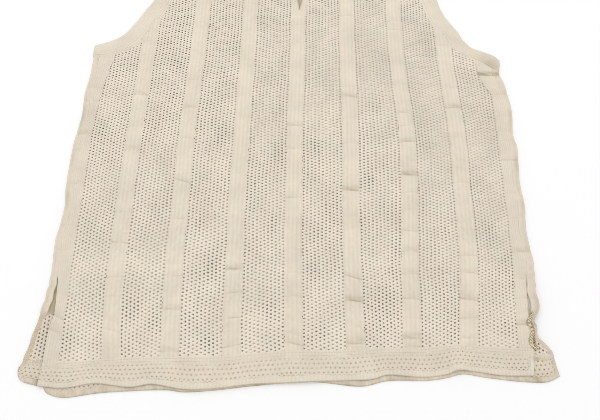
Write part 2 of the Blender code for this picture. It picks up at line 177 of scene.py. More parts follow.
# The hem bands, from left to right: lower edge across and height, seam across and height.
FRONT_HEM = (
    (-237.5, -6, -236.6, 15), (-212, -7.5, -212, 16), (-183, -3, -183, 18.5),
    (-150, -6, -150, 21), (-129, -3, -129, 21.5), (-98, -7.5, -98, 22.5),
    (-67, -6, -67, 23), (-35, -2, -35, 26), (0, 0, 0, 29),
    (37, 2, 37, 29.5), (78, 4, 78, 32), (96, 8.5, 96, 33),
    (128, 7, 128, 33.5), (150, 9.5, 150, 36), (164, 14, 164, 37.5),
    (181, 12.5, 181, 36.5), (205, 9.5, 205, 35), (234.5, 9.5, 237.6, 34),
)

# The armhole bands, from the underarm up: free edge across and height, seam across and height.
LEFT_ARMHOLE = (
    (-248.7, 404.3, -248.2, 389), (-240, 407.3, -236, 389.3), (-230, 411.5, -222, 393),
    (-221, 416.7, -208.5, 400), (-213, 425, -196, 409), (-206.5, 436, -186.5, 421.5),
    (-200, 448, -179, 436), (-193.5, 462, -172.5, 453), (-184, 480, -165, 475),
    (-177.5, 505, -159, 501), (-173.5, 540, -154.6, 538), (-173, 575, -154, 575),
    (-175.6, 610, -156.6, 615.5),
)
RIGHT_ARMHOLE = (
    (250.6, 387.5, 248, 372), (245.5, 393.7, 239.5, 377), (233, 400, 228, 386.5),
    (219, 406.5, 210.5, 396), (210, 418, 196, 407), (204, 432, 186, 421),
    (195.5, 447, 178, 437), (188, 463, 171, 455), (183, 483, 165.5, 479),
    (177.5, 508, 159.5, 504), (174, 540, 155, 538), (173.5, 575, 154.5, 575),
    (176, 610, 157, 615),
)

# Shoulders, neck and the slit.
NECK_MIDDLE = 3.0
NECK_HALF_WIDTH = 82.0
NECK_BAND = 12.0
FRONT_DROP = 98.0
BACK_DROP = 22.0
SHOULDER_FALL = 0.29
SLIT_TIP = (4.8, 467.0)
SLIT_SPREAD = math.tan(math.radians(11.0))

# The largest soft folds of the front: across, height, half width, half length, rise.
SOFT_FOLDS = (
    (163.0, 14.0, 16.0, 70.0, 1.3),
    (240.0, 380.0, 13.0, 15.0, 1.3),
    (-225.0, 62.0, 12.0, 22.0, 0.8),
    (214.0, 56.0, 18.0, 14.0, 0.9),
)

# Where the front's holes lie right over the back's: across, height, half width, half length, share.
HOLES_OVER_HOLES = (
    (-84, 275, 9, 17, 1), (210, 156, 9, 16, 1), (-159, 68, 9, 13, 1), (97, 320, 9, 15, 1),
    (26, 262, 8, 15, 1), (-20, 70, 8, 13, 0.9), (-133, 54, 9, 12, 0.9), (22, 112, 8, 14, 0.9),
    (-78, 36, 8, 10, 1), (86, 219, 9, 16, 0.9), (149, 268, 9, 15, 0.9), (-16, 252, 7, 14, 0.9),
    (102, 237, 7, 13, 0.8), (-217, 36, 9, 11, 0.9), (-81, 118, 8, 14, 0.8), (-88, 360, 9, 18, 0.8),
    (-20, 164, 8, 15, 0.8), (-102, 59, 7, 10, 0.8), (164, 156, 7, 14, 0.8), (-146, 331, 9, 18, 0.8),
    (-99, 162, 8, 14, 0.7), (-220, 276, 8, 15, 0.8), (228, 306, 7, 15, 0.8), (-144, 376, 9, 16, 0.7),
    (-217, 364, 8, 17, 0.7), (-42, 442, 8, 18, 0.7), (-16, 389, 8, 16, 0.7), (100, 388, 8, 18, 0.7),
    (-193, 91, 7, 13, 0.7), (-18, 316, 7, 13, 0.7), (-18, 350, 7, 14, 0.7), (228, 62, 7, 12, 0.8),
    (228, 100, 7, 13, 0.8), (31, 48, 8, 11, 0.8), (-228, 84, 6, 13, 0.7), (-81, 402, 9, 15, 0.7),
    (50, 407, 8, 17, 0.7), (150, 340, 8, 16, 0.7), (86, 77, 7, 12, 0.7), (99, 88, 7, 11, 0.7),
    (106, 110, 7, 12, 0.7), (-142, 452, 8, 17, 0.6), (110, 137, 7, 13, 0.6), (-30, 520, 9, 20, 0.8),
    (90, 500, 9, 18, 0.7), (150, 560, 8, 20, 0.7), (-100, 540, 9, 18, 0.8), (-150, 590, 8, 16, 0.7),
)

# The slow ripples of the cloth and the sway and drift of its courses: height, length across, along.
RIPPLES = ((0.1, 13.0, 31.0), (0.12, -47.0, 17.0), (0.08, 7.3, -11.0))
COURSE_SWAY = ((0.9, 19.0, 53.0), (0.6, 8.0, -29.0))
COURSE_DRIFT = ((0.35, 31.0, 9.0),)
STRIPE_DRIFT = 0.3
STRIPE_WAVE = 23.0


def smooth(points, steps):
    """A smooth line through the points, with some steps between each two."""
    rows = np.array(points, dtype=float)
    rows = np.vstack((2 * rows[0] - rows[1], rows, 2 * rows[-1] - rows[-2]))
    line = []
    for k in range(1, len(rows) - 2):
        before, start, end, after = rows[k - 1:k + 3]
        for step in range(steps):
            t = step / steps
            pull = (end - before) * t + (2 * before - 5 * start + 4 * end - after) * t ** 2
            line.append(start + (pull + (3 * (start - end) + after - before) * t ** 3) / 2)
    line.append(rows[-2])
    return np.array(line)


def soft_step(value):
    """0 below 0, 1 above 1, and a soft rise between."""
    share = np.clip(value, 0.0, 1.0)
    return share * share * (3.0 - 2.0 * share)


def ripple(waves, across, along):
    """A sum of waves over the cloth, each with its height and its lengths across and along."""
    return sum(rise * np.sin(across / wide + along / long) for rise, wide, long in waves)


def uneven_wave(wave, along, start=0.0, aside=0.0):
    """A wave from -1 to 1 along the cloth, given by its pitch, its swing and the swing's length."""
    pitch, swing, slow = wave
    return np.sin(along / pitch + swing * np.sin(along / slow + start) + aside)


BAND_LINES = [smooth(list(zip(BAND_LEVELS, middles)), 12) for middles in BAND_MIDDLES]
HEM_LINE = smooth(FRONT_HEM, 6)
LEFT_ARM_LINE = smooth(LEFT_ARMHOLE, 6)
RIGHT_ARM_LINE = smooth(RIGHT_ARMHOLE, 6)


def band_middle(k, height):
    """Where the middle of a plain band is at a height."""
    return np.interp(height, BAND_LINES[k][:, 0], BAND_LINES[k][:, 1])


def hem_seam(across):
    """The height of the hem's seam."""
    return np.interp(across, HEM_LINE[:, 2], HEM_LINE[:, 3])


def shoulder_height(across):
    """The shoulder line falls from the neck to the armhole."""
    return SHOULDER_HIGH - SHOULDER_FALL * (np.abs(across - NECK_MIDDLE) - NECK_HALF_WIDTH)


def neck_height(across, drop, inset):
    """The height of the neckline, moved into the cloth by the inset."""
    half = NECK_HALF_WIDTH + inset
    head = shoulder_height(NECK_MIDDLE + half)
    depth = drop + inset - (SHOULDER_HIGH - head)
    reach = np.clip(np.abs(across - NECK_MIDDLE) / half, 0.0, 1.0)
    height = head - depth * np.sqrt(1.0 - reach ** 2)
    return np.where(reach < 1.0, height, SHOULDER_HIGH + 50.0)


def front_rise(across, height):
    """How far the folds and slow ripples of the cloth lift the front at a point."""
    rise = ripple(RIPPLES, across, height)
    for middle, level, half_width, half_length, top in SOFT_FOLDS:
        reach = np.hypot((across - middle) / half_width, (height - level) / half_length)
        rise += np.where(reach < 1.0, top * (0.5 + 0.5 * np.cos(np.pi * np.minimum(reach, 1.0))), 0.0)
    return rise


def body_inside(across, height, spare):
    """Whether a point is on the front or back below the armholes' seams and the shoulders."""
    left_arm = np.interp(height, LEFT_ARM_LINE[:, 3], LEFT_ARM_LINE[:, 2], left=-PAST_SIDES)
    right_arm = np.interp(height, RIGHT_ARM_LINE[:, 3], RIGHT_ARM_LINE[:, 2], left=PAST_SIDES)
    inside = (across > left_arm - spare) & (across < right_arm + spare)
    return inside & (height < shoulder_height(across) - 0.5)


def front_inside(across, height, spare):
    """Whether a point is on the front panel, or on the spare cloth under its bands."""
    inside = body_inside(across, height, spare) & (height > hem_seam(across) - spare)
    inside &= height < neck_height(across, FRONT_DROP, NECK_BAND) + spare
    slit_half = SLIT_SPREAD * (height - SLIT_TIP[1]) + 1.0
    return inside & (np.abs(across - SLIT_TIP[0]) > slit_half)


def stripe_across(k, columns, height):
    """Across in an eyelet stripe, counted in hole columns from its left."""
    left = band_middle(k, height) + BAND_HALVES[k] + STRIPE_INSET
    right = band_middle(k + 1, height) - BAND_HALVES[k + 1] - STRIPE_INSET
    return left + columns / HOLE_COLUMNS * (right - left)


def course_place(k, columns, along):
    """Where a point of an eyelet stripe lies: its courses follow the hem, and straighten above."""
    across = stripe_across(k, columns, along)
    bend = (hem_seam(across) - HEM_MEAN) * (1.0 - soft_step((along - HEM_MEAN) / HEM_FADE))
    height = along + bend + ripple(COURSE_SWAY, across, along)
    drift = ripple(COURSE_DRIFT, across, height) + STRIPE_DRIFT * np.sin(height / STRIPE_WAVE + k)
    return stripe_across(k, columns, height) + drift, height


def holes_over(across, height):
    """How squarely the front's holes lie over the back's at a point, from 0 to 1."""
    over = np.zeros(np.shape(across))
    for middle, level, half_width, half_length, share in HOLES_OVER_HOLES:
        away = ((across - middle) / half_width) ** 2
        over += share * np.exp(-away - ((height - level) / half_length) ** 2)
    return np.clip(over, 0.0, 1.0)


def plug(tree, socket, value):
    """Gives a socket a value, or a link from another socket or from a node's first output."""
    if isinstance(value, bpy.types.Node):
        value = value.outputs[0]
    if isinstance(value, bpy.types.NodeSocket):
        tree.links.new(value, socket)
    else:
        socket.default_value = value


def add_node(tree, kind, inputs, **settings):
    """A node with its settings, and its inputs by name or number."""
    node = tree.nodes.new(kind)
    for name, value in settings.items():
        setattr(node, name, value)
    for name, value in inputs.items():
        plug(tree, node.inputs[name], value)
    return node


def add_sum(tree, operation, first, second=0.0, third=0.0):
    """One step of arithmetic in a tree."""
    return add_node(tree, "ShaderNodeMath", {0: first, 1: second, 2: third}, operation=operation)


def add_vector(tree, operation, first, second):
    """One step of arithmetic with two vectors in a tree."""
    return add_node(tree, "ShaderNodeVectorMath", {0: first, 1: second}, operation=operation)


def add_scaled(tree, vector, scale):
    """A vector or a colour times a number."""
    return add_node(tree, "ShaderNodeVectorMath", {0: vector, "Scale": scale}, operation="SCALE")


def add_remap(tree, value, low, high, to_low, to_high):
    """A value brought from one range into another."""
    return add_node(tree, "ShaderNodeMapRange", {
        "Value": value, "From Min": low, "From Max": high, "To Min": to_low, "To Max": to_high})


def add_split(tree, vector):
    """The X, Y and Z of a vector."""
    return add_node(tree, "ShaderNodeSeparateXYZ", {0: vector}).outputs


def add_store(tree, geometry, name, value, kind="FLOAT_VECTOR", domain="INSTANCE"):
    """A geometry with a value kept on it by name."""
    return add_node(tree, "GeometryNodeStoreNamedAttribute", {
        "Geometry": geometry, "Name": name, "Value": value}, data_type=kind, domain=domain)


def add_read(tree, name, kind="FLOAT_VECTOR"):
    """A value that was kept by name."""
    return add_node(tree, "GeometryNodeInputNamedAttribute", {"Name": name}, data_type=kind)


def new_tree(name, kind, inputs, output):
    """An empty tree: its inputs by name, kind and value, its output by name and kind."""
    tree = bpy.data.node_groups.new(name, kind)
    for title, socket_kind, value in inputs:
        socket = tree.interface.new_socket(
            name=title, in_out="INPUT", socket_type="NodeSocket" + socket_kind)
        if value is not None:
            socket.default_value = value
    tree.interface.new_socket(
        name=output[0], in_out="OUTPUT", socket_type="NodeSocket" + output[1])
    return tree, tree.nodes.new("NodeGroupInput").outputs, tree.nodes.new("NodeGroupOutput").inputs[0]


def grow(tree, source, sizes):
    """The mesh that a geometry tree makes, with its inputs set by name."""
    holder = bpy.data.objects.new(tree.name, source)
    scene.collection.objects.link(holder)
    grower = holder.modifiers.new(tree.name, "NODES")
    grower.node_group = tree
    for item in tree.interface.items_tree:
        if item.name in sizes:
            grower[item.identifier] = sizes[item.name]
    seen = holder.evaluated_get(bpy.context.evaluated_depsgraph_get())
    mesh = bpy.data.meshes.new_from_object(seen)
    bpy.data.objects.remove(holder)
    return mesh


def build_eyelet_tree():
    """Six-sided rims of yarn side by side, every other column half a hole up, welded together."""
    tree, give, result = new_tree("eyelet_net", "GeometryNodeTree", (
        ("Cloth", "Material", None),
        ("Columns", "Int", HOLE_COLUMNS), ("Rows", "Int", NET_ROWS),
        ("Across", "Float", HOLE_ACROSS), ("Along", "Float", HOLE_ALONG),
        ("Hole Width", "Float", HOLE_WIDTH), ("Hole Length", "Float", HOLE_LENGTH),
        ("Hole Spread", "Float", HOLE_SPREAD), ("Hole Growth", "Float", 0.0),
        ("Hole Wander", "Float", HOLE_WANDER), ("Rings", "Int", 2),
        ("Crest", "Float", RIM_CREST), ("Drop", "Float", RIM_DROP),
    ), ("Mesh", "Geometry"))

    # One rim: a tube whose length becomes the way in from the rim's outer edge to its hole.
    rim = add_node(tree, "GeometryNodeMeshCone", {
        "Vertices": 6, "Side Segments": give["Rings"], "Radius Top": 1.0, "Radius Bottom": 1.0,
        "Depth": 1.0}, fill_type="NONE")
    place = add_split(tree, tree.nodes.new("GeometryNodeInputPosition"))
    inward = place["Z"]
    near_hole = add_sum(tree, "POWER", inward, 0.5)
    outer_across = add_sum(tree, "MULTIPLY", give["Across"], 2.0 / 3.0)
    outer_along = add_sum(tree, "MULTIPLY", give["Along"], 0.5 / math.sin(math.pi / 3.0))
    sides = []
    for axis, outer, hole in (("X", outer_across, "Hole Width"), ("Y", outer_along, "Hole Length")):
        half = add_sum(tree, "MULTIPLY", give[hole], 0.5)
        reach = add_sum(tree, "MULTIPLY_ADD", add_sum(tree, "SUBTRACT", half, outer), near_hole, outer)
        sides.append(add_sum(tree, "MULTIPLY", reach, place[axis]))
    arch = add_sum(tree, "SINE", add_sum(tree, "MULTIPLY", inward, math.pi))
    sunk = add_sum(tree, "MULTIPLY", add_sum(tree, "POWER", inward, 2.0), give["Drop"])
    level = add_sum(tree, "SUBTRACT", add_sum(tree, "MULTIPLY", arch, give["Crest"]), sunk)
    shape = add_node(tree, "ShaderNodeCombineXYZ", {"X": sides[0], "Y": sides[1], "Z": level})
    kept = add_store(tree, rim, "inward", inward, "FLOAT", "POINT")
    shaped = add_node(tree, "GeometryNodeSetPosition", {"Geometry": kept, "Position": shape})

    # A grid of middles, and a rim on each.
    size_x = add_sum(tree, "MULTIPLY", give["Across"], add_sum(tree, "SUBTRACT", give["Columns"], 1.0))
    size_y = add_sum(tree, "MULTIPLY", give["Along"], add_sum(tree, "SUBTRACT", give["Rows"], 1.0))
    crossings = add_node(tree, "GeometryNodeMeshGrid", {
        "Size X": size_x, "Size Y": size_y, "Vertices X": give["Columns"], "Vertices Y": give["Rows"]})
    spot = add_split(tree, tree.nodes.new("GeometryNodeInputPosition"))
    from_left = add_sum(tree, "MULTIPLY_ADD", size_x, 0.5, spot["X"])
    column = add_sum(tree, "ROUND", add_sum(tree, "DIVIDE", from_left, give["Across"]))
    odd = add_sum(tree, "MODULO", column, 2.0)
    shift_x = add_sum(tree, "MULTIPLY_ADD", give["Across"], 0.5, add_sum(tree, "MULTIPLY", size_x, 0.5))
    half_up = add_sum(tree, "MULTIPLY", add_sum(tree, "MULTIPLY", odd, give["Along"]), 0.5)
    shift_y = add_sum(tree, "MULTIPLY_ADD", size_y, 0.5, half_up)
    shift = add_node(tree, "ShaderNodeCombineXYZ", {"X": shift_x, "Y": shift_y})
    middles = add_node(tree, "GeometryNodeSetPosition", {"Geometry": crossings, "Offset": shift})
    dotted = add_node(tree, "GeometryNodeInstanceOnPoints", {"Points": middles, "Instance": shaped})
    middle = add_store(tree, dotted, "middle", tree.nodes.new("GeometryNodeInputPosition"))

    # Each hole has its own size, larger towards the shoulders, and its own small shift.
    low = add_sum(tree, "SUBTRACT", 1.0, give["Hole Spread"])
    high = add_sum(tree, "ADD", 1.0, give["Hole Spread"])
    chance = add_node(tree, "FunctionNodeRandomValue", {"Min": low, "Max": high, "Seed": SIZE_SEED},
                      data_type="FLOAT")
    up_share = add_sum(tree, "ADD", add_sum(tree, "DIVIDE", spot["Y"], size_y), 0.5)
    growing = add_sum(tree, "MINIMUM", add_sum(tree, "POWER", up_share, GROWTH_POWER), MOST_GROWTH)
    growth = add_sum(tree, "MULTIPLY_ADD", growing, give["Hole Growth"], 1.0)
    grown_hole = add_sum(tree, "MULTIPLY", chance.outputs[1], growth)
    hole_size = add_node(tree, "ShaderNodeCombineXYZ", {"X": grown_hole, "Y": grown_hole, "Z": 1.0})
    sized = add_store(tree, middle, "size", hole_size)
    aside = add_node(tree, "FunctionNodeRandomValue", {
        0: (-1.0, -1.0, 0.0), 1: (1.0, 1.0, 0.0), "Seed": WANDER_SEED}, data_type="FLOAT_VECTOR")
    strayed = add_store(tree, sized, "wander", add_scaled(tree, aside, give["Hole Wander"]))
    realized = add_node(tree, "GeometryNodeRealizeInstances", {0: strayed})
    own_middle = add_read(tree, "middle")
    away = add_vector(tree, "SUBTRACT", tree.nodes.new("GeometryNodeInputPosition"), own_middle)
    grown = add_vector(tree, "MULTIPLY", away, add_read(tree, "size"))
    placed = add_vector(tree, "ADD", own_middle, grown)
    moved = add_vector(tree, "ADD", placed, add_read(tree, "wander"))
    chosen = add_node(tree, "FunctionNodeCompare", {0: add_read(tree, "inward", "FLOAT"), 1: AT_HOLE},
                      data_type="FLOAT", operation="GREATER_THAN")
    varied = add_node(tree, "GeometryNodeSetPosition", {
        "Geometry": realized, "Selection": chosen, "Position": moved})
    welded = add_node(tree, "GeometryNodeMergeByDistance", {"Geometry": varied, "Distance": WELD})
    plug(tree, result, add_node(tree, "GeometryNodeSetMaterial", {
        "Geometry": welded, "Material": give["Cloth"]}))
    return tree


def build_mottle_group():
    """Shader group: cotton's uneven cream, mixed towards a darker tan where the piece asks for it, mostly
    as painted shade.
    """
    tree, give, result = new_tree("cotton_mottle", "ShaderNodeTree", (
        ("Cream", "Color", (0.75, 0.68, 0.56, 1.0)), ("Tan", "Color", CREAM_TAN),
        ("Tan Share", "Float", 0.0), ("Patch", "Float", 0.03),
        ("Fibre", "Float", 0.0012),
    ), ("Colour", "Color"))
    spot = tree.nodes.new("ShaderNodeTexCoord").outputs["Object"]
    patch_scale = add_sum(tree, "DIVIDE", 1.0, give["Patch"])
    fibre_scale = add_sum(tree, "DIVIDE", 1.0, give["Fibre"])
    tint_scale = add_sum(tree, "MULTIPLY", patch_scale, 1.7)
    patch = add_node(tree, "ShaderNodeTexNoise", {"Vector": spot, "Scale": patch_scale, "Detail": 3.0})
    tint = add_node(tree, "ShaderNodeTexNoise", {
        "Vector": spot, "Scale": tint_scale, "Detail": 1.0, "W": 4.0}, noise_dimensions="4D")
    fibre = add_node(tree, "ShaderNodeTexNoise", {"Vector": spot, "Scale": fibre_scale, "Detail": 2.0})
    warm = add_node(tree, "ShaderNodeMix", {"Factor": tint, 6: WARM_TINT, 7: COOL_TINT}, data_type="RGBA")
    patchy = add_remap(tree, patch, 0.3, 0.7, 0.925, 1.045)
    fuzzy = add_remap(tree, fibre, 0.2, 0.8, 0.95, 1.04)
    shade = add_sum(tree, "MULTIPLY", patchy, fuzzy)
    blotch = add_remap(tree, tint, 0.35, 0.65, 0.75, 1.2)
    share = add_sum(tree, "MULTIPLY", give["Tan Share"], blotch)
    edge_tone = add_node(tree, "ShaderNodeMix", {"Factor": share, 6: give["Cream"], 7: give["Tan"]},
                    data_type="RGBA")
    tinted = add_node(tree, "ShaderNodeMix", {
        "Factor": 1.0, 6: edge_tone.outputs[2], 7: warm.outputs[2]}, data_type="RGBA", blend_type="MULTIPLY")
    plug(tree, result, add_scaled(tree, tinted.outputs[2], shade))
    return tree


def build_loop_group():
    """Shader group: the V-shaped loops of plain knitting on the flat cloth's own UV map."""
    tree, give, result = new_tree("knit_loops", "ShaderNodeTree", (
        ("Wale", "Float", NET_WALE), ("Course", "Float", KNIT_COURSE),
        ("Slope", "Float", 0.9),
    ), ("Height", "Float"))
    spot = add_split(tree, add_node(tree, "ShaderNodeUVMap", {}, uv_map="flat_cloth"))
    wale = add_sum(tree, "FRACT", add_sum(tree, "DIVIDE", spot["X"], give["Wale"]))
    aside = add_sum(tree, "ABSOLUTE", add_sum(tree, "SUBTRACT", wale, 0.5))
    course = add_sum(tree, "DIVIDE", spot["Y"], give["Course"])
    lean = add_sum(tree, "FRACT", add_sum(tree, "MULTIPLY_ADD", aside, give["Slope"], course))
    loop = add_sum(tree, "SINE", add_sum(tree, "MULTIPLY", lean, math.pi))
    from_leg = add_sum(tree, "MULTIPLY", add_sum(tree, "SUBTRACT", aside, 0.25), 4.0)
    leg = add_sum(tree, "SUBTRACT", 1.0, add_sum(tree, "MULTIPLY", from_leg, from_leg))
    half_loop = add_sum(tree, "MULTIPLY_ADD", loop, 0.5, 0.5)
    plug(tree, result, add_sum(tree, "MULTIPLY", leg, half_loop))
    return tree


MOTTLE = build_mottle_group()
KNIT_LOOPS = build_loop_group()


def cotton(name, cream, tan=CREAM_TAN, wale=NET_WALE, course=KNIT_COURSE, depth=LOOP_DEPTH, column=0.0):
    """Matt cotton knit: uneven cream, loops as bump and painted shade, and a little nap as sheen.

    Where it has columns of holes or ribs, its colour is painted lighter along each column and darker
    between: painted light and shade.
    """
    material = bpy.data.materials.new(name)
    material.use_nodes = True
    tree = material.node_tree
    shader = tree.nodes["Principled BSDF"]
    # The piece's tan share: mostly painted shade, in the darker tan.
    tan_share = add_node(tree, "ShaderNodeAttribute", {}, attribute_name="tan").outputs["Fac"]
    mottle = add_node(tree, "ShaderNodeGroup", {}, node_tree=MOTTLE)
    for title, value in (("Cream", cream), ("Tan", tan), ("Tan Share", tan_share)):
        plug(tree, mottle.inputs[title], value)
    loops = add_node(tree, "ShaderNodeGroup", {}, node_tree=KNIT_LOOPS)
    loops.inputs["Wale"].default_value = wale
    loops.inputs["Course"].default_value = course
    shade = add_remap(tree, loops, 0.0, 1.0, 1.0 - LOOP_SHADE, 1.0 + 0.3 * LOOP_SHADE)
    colour = add_scaled(tree, mottle, shade)
    # Painted light along each column, and painted shade between.
    if column > 0.0:
        place = add_split(tree, add_node(tree, "ShaderNodeUVMap", {}, uv_map="flat_cloth"))
        wave = add_sum(tree, "COSINE", add_sum(tree, "MULTIPLY", place["X"], 2.0 * math.pi / column))
        colour = add_scaled(tree, colour, add_sum(tree, "MULTIPLY_ADD", wave, -COLUMN_SHADE, 1.0))
    spot = tree.nodes.new("ShaderNodeTexCoord").outputs["Object"]
    dents = add_node(tree, "ShaderNodeTexNoise", {"Vector": spot, "Scale": DENT_SCALE, "Detail": 1.5})
    uneven = add_node(tree, "ShaderNodeBump", {"Height": dents, "Strength": 0.6, "Distance": DENT_DEPTH})
    bump = add_node(tree, "ShaderNodeBump", {
        "Height": loops, "Strength": 0.5, "Distance": depth, "Normal": uneven})
    plug(tree, shader.inputs["Base Color"], colour)
    plug(tree, shader.inputs["Normal"], bump)
    for title, value in COTTON_SURFACE:
        shader.inputs[title].default_value = value
    return material


# The net is the bands' yarn, painted lighter: painted light that makes up for the shade between its holes.
EYELET_KNIT = cotton("eyelet_knit", (0.825, 0.752, 0.64, 1.0), column=HOLE_ACROSS * MM)
EYELET_TREE = build_eyelet_tree()


def net_arrays(columns, rows, rings, width, length, crest, drop, growth=0.0):
    """The flat net as points, four-sided faces, and how far down into its hole each point is."""
    mesh = grow(EYELET_TREE, bpy.data.meshes.new("net_source"), {
        "Cloth": EYELET_KNIT, "Columns": columns, "Rows": rows, "Across": HOLE_ACROSS,
        "Along": HOLE_ALONG, "Hole Width": width, "Hole Length": length, "Hole Spread": HOLE_SPREAD,
        "Hole Growth": growth, "Hole Wander": HOLE_WANDER, "Rings": rings, "Crest": crest, "Drop": drop,
    })
    points = np.empty(3 * len(mesh.vertices), dtype=np.float32)
    mesh.vertices.foreach_get("co", points)
    corners = np.empty(len(mesh.loops), dtype=np.int32)
    mesh.loops.foreach_get("vertex_index", corners)
    inward = np.empty(len(mesh.vertices), dtype=np.float32)
    mesh.attributes["inward"].data.foreach_get("value", inward)
    bpy.data.meshes.remove(mesh)
    return points.reshape(-1, 3).astype(float), corners.reshape(-1, 4), inward


def join_parts(parts):
    """Several parts as one. A part is points, faces, flat places and tan shares, which are mostly painted
    shade.
    """
    starts = np.cumsum([0] + [len(part[0]) for part in parts[:-1]])
    faces = [part[1] + start for part, start in zip(parts, starts)]
    points, flats, tans = ([part[k] for part in parts] for k in (0, 2, 3))
    return np.vstack(points), np.vstack(faces), np.vstack(flats), np.concatenate(tans)


def cut_out(part, inside):
    """The part's faces that lie inside a panel or on its spare cloth, and no loose points."""
    points, faces, flat, tan = part
    middle = points[faces].mean(axis=1)
    faces = faces[inside(middle[:, 0], middle[:, 1], SPARE)]
    used, renumbered = np.unique(faces, return_inverse=True)
    return points[used], renumbered.reshape(faces.shape), flat[used], tan[used]


def add_piece(name, mesh, nodes):
    """A finished mesh as a piece of the top, in place of its CAD nodes."""
    mesh.polygons.foreach_set("use_smooth", [True] * len(mesh.polygons))
    mesh.update()
    piece = bpy.data.objects.new(name, mesh)
    scene.collection.objects.link(piece)
    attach(piece, "root")
    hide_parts(*nodes)
    return piece


def add_cloth(name, part, cloth, node):
    """A finished piece of laid cloth from its part, with its flat cut in millimetres."""
    points, faces, flat, tan = part
    mesh = bpy.data.meshes.new(name)
    mesh.from_pydata(((points - (0.0, LAID_MIDDLE, 0.0)) * MM).tolist(), [], faces.tolist())
    uv_map = mesh.uv_layers.new(name="flat_cloth")
    corners = np.empty(len(mesh.loops), dtype=np.int32)
    mesh.loops.foreach_get("vertex_index", corners)
    uv_map.data.foreach_set("uv", (flat[corners] * MM).astype(np.float32).ravel())
    # The tan share, mostly painted shade.
    share = mesh.attributes.new("tan", "FLOAT", "POINT")
    share.data.foreach_set("value", tan.astype(np.float32))
    mesh.materials.append(cloth)
    piece = add_piece(name, mesh, [node])
    return piece


# Painted shade on the front's yarn round its holes, where little light reaches: some at the hem, and more
# up to the shoulders, on the right, and where holes lie over holes.
HEM_SHADE = 0.05
HEAD_SHADE = 0.35
RIGHT_SHADE = 0.1
RIGHT_REACH = 150.0
OVER_SHADE = 0.25
FRONT_NET = net_arrays(
    HOLE_COLUMNS, NET_ROWS, 2, HOLE_WIDTH, HOLE_LENGTH, RIM_CREST, RIM_DROP, HOLE_GROWTH)


def front_stripe(k):
    """One eyelet stripe of the front, draped in its place."""
    flat, faces, inward = FRONT_NET
    across, height = course_place(k, flat[:, 0] / HOLE_ACROSS, flat[:, 1] + NET_FOOT)
    level = FRONT_TOP - NET_SINK + front_rise(across, height) + flat[:, 2]
    points = np.stack((across, height, level), axis=1)
    # Painted shade round the holes' rims.
    shade = HEM_SHADE + HEAD_SHADE * height / SHOULDER_HIGH + RIGHT_SHADE * soft_step(across / RIGHT_REACH)
    shade = inward ** 2 * np.clip(shade + OVER_SHADE * holes_over(across, height), 0.0, 1.0)
    flat = flat[:, :2] + ((HOLE_COLUMNS + 1) * k * HOLE_ACROSS, 0.0)
    return cut_out((points, faces, flat, shade), front_inside)


for side, stripes in (("left", range(0, 4)), ("right", range(4, 8))):
    part = join_parts([front_stripe(k) for k in stripes])
    add_cloth(f"front_net_{side}", part, EYELET_KNIT, "front_panel")


# ---------------------------------------------------------------------------
# The plain bands of the front.
# Between the eyelet stripes run nine narrow bands of plain knitting, longer than the stripes.
# They are knitted in one with the net, so the spare length puckers up between tight creases.
# ---------------------------------------------------------------------------
# Painted light and shade along the bands: each rib a little lighter, and darker between.
RIB_PITCH = 3.6
BAND_KNIT = cotton("band_knit", (0.758, 0.686, 0.573, 1.0), wale=0.00144, course=0.0011, depth=0.00025,
                   column=RIB_PITCH * MM)
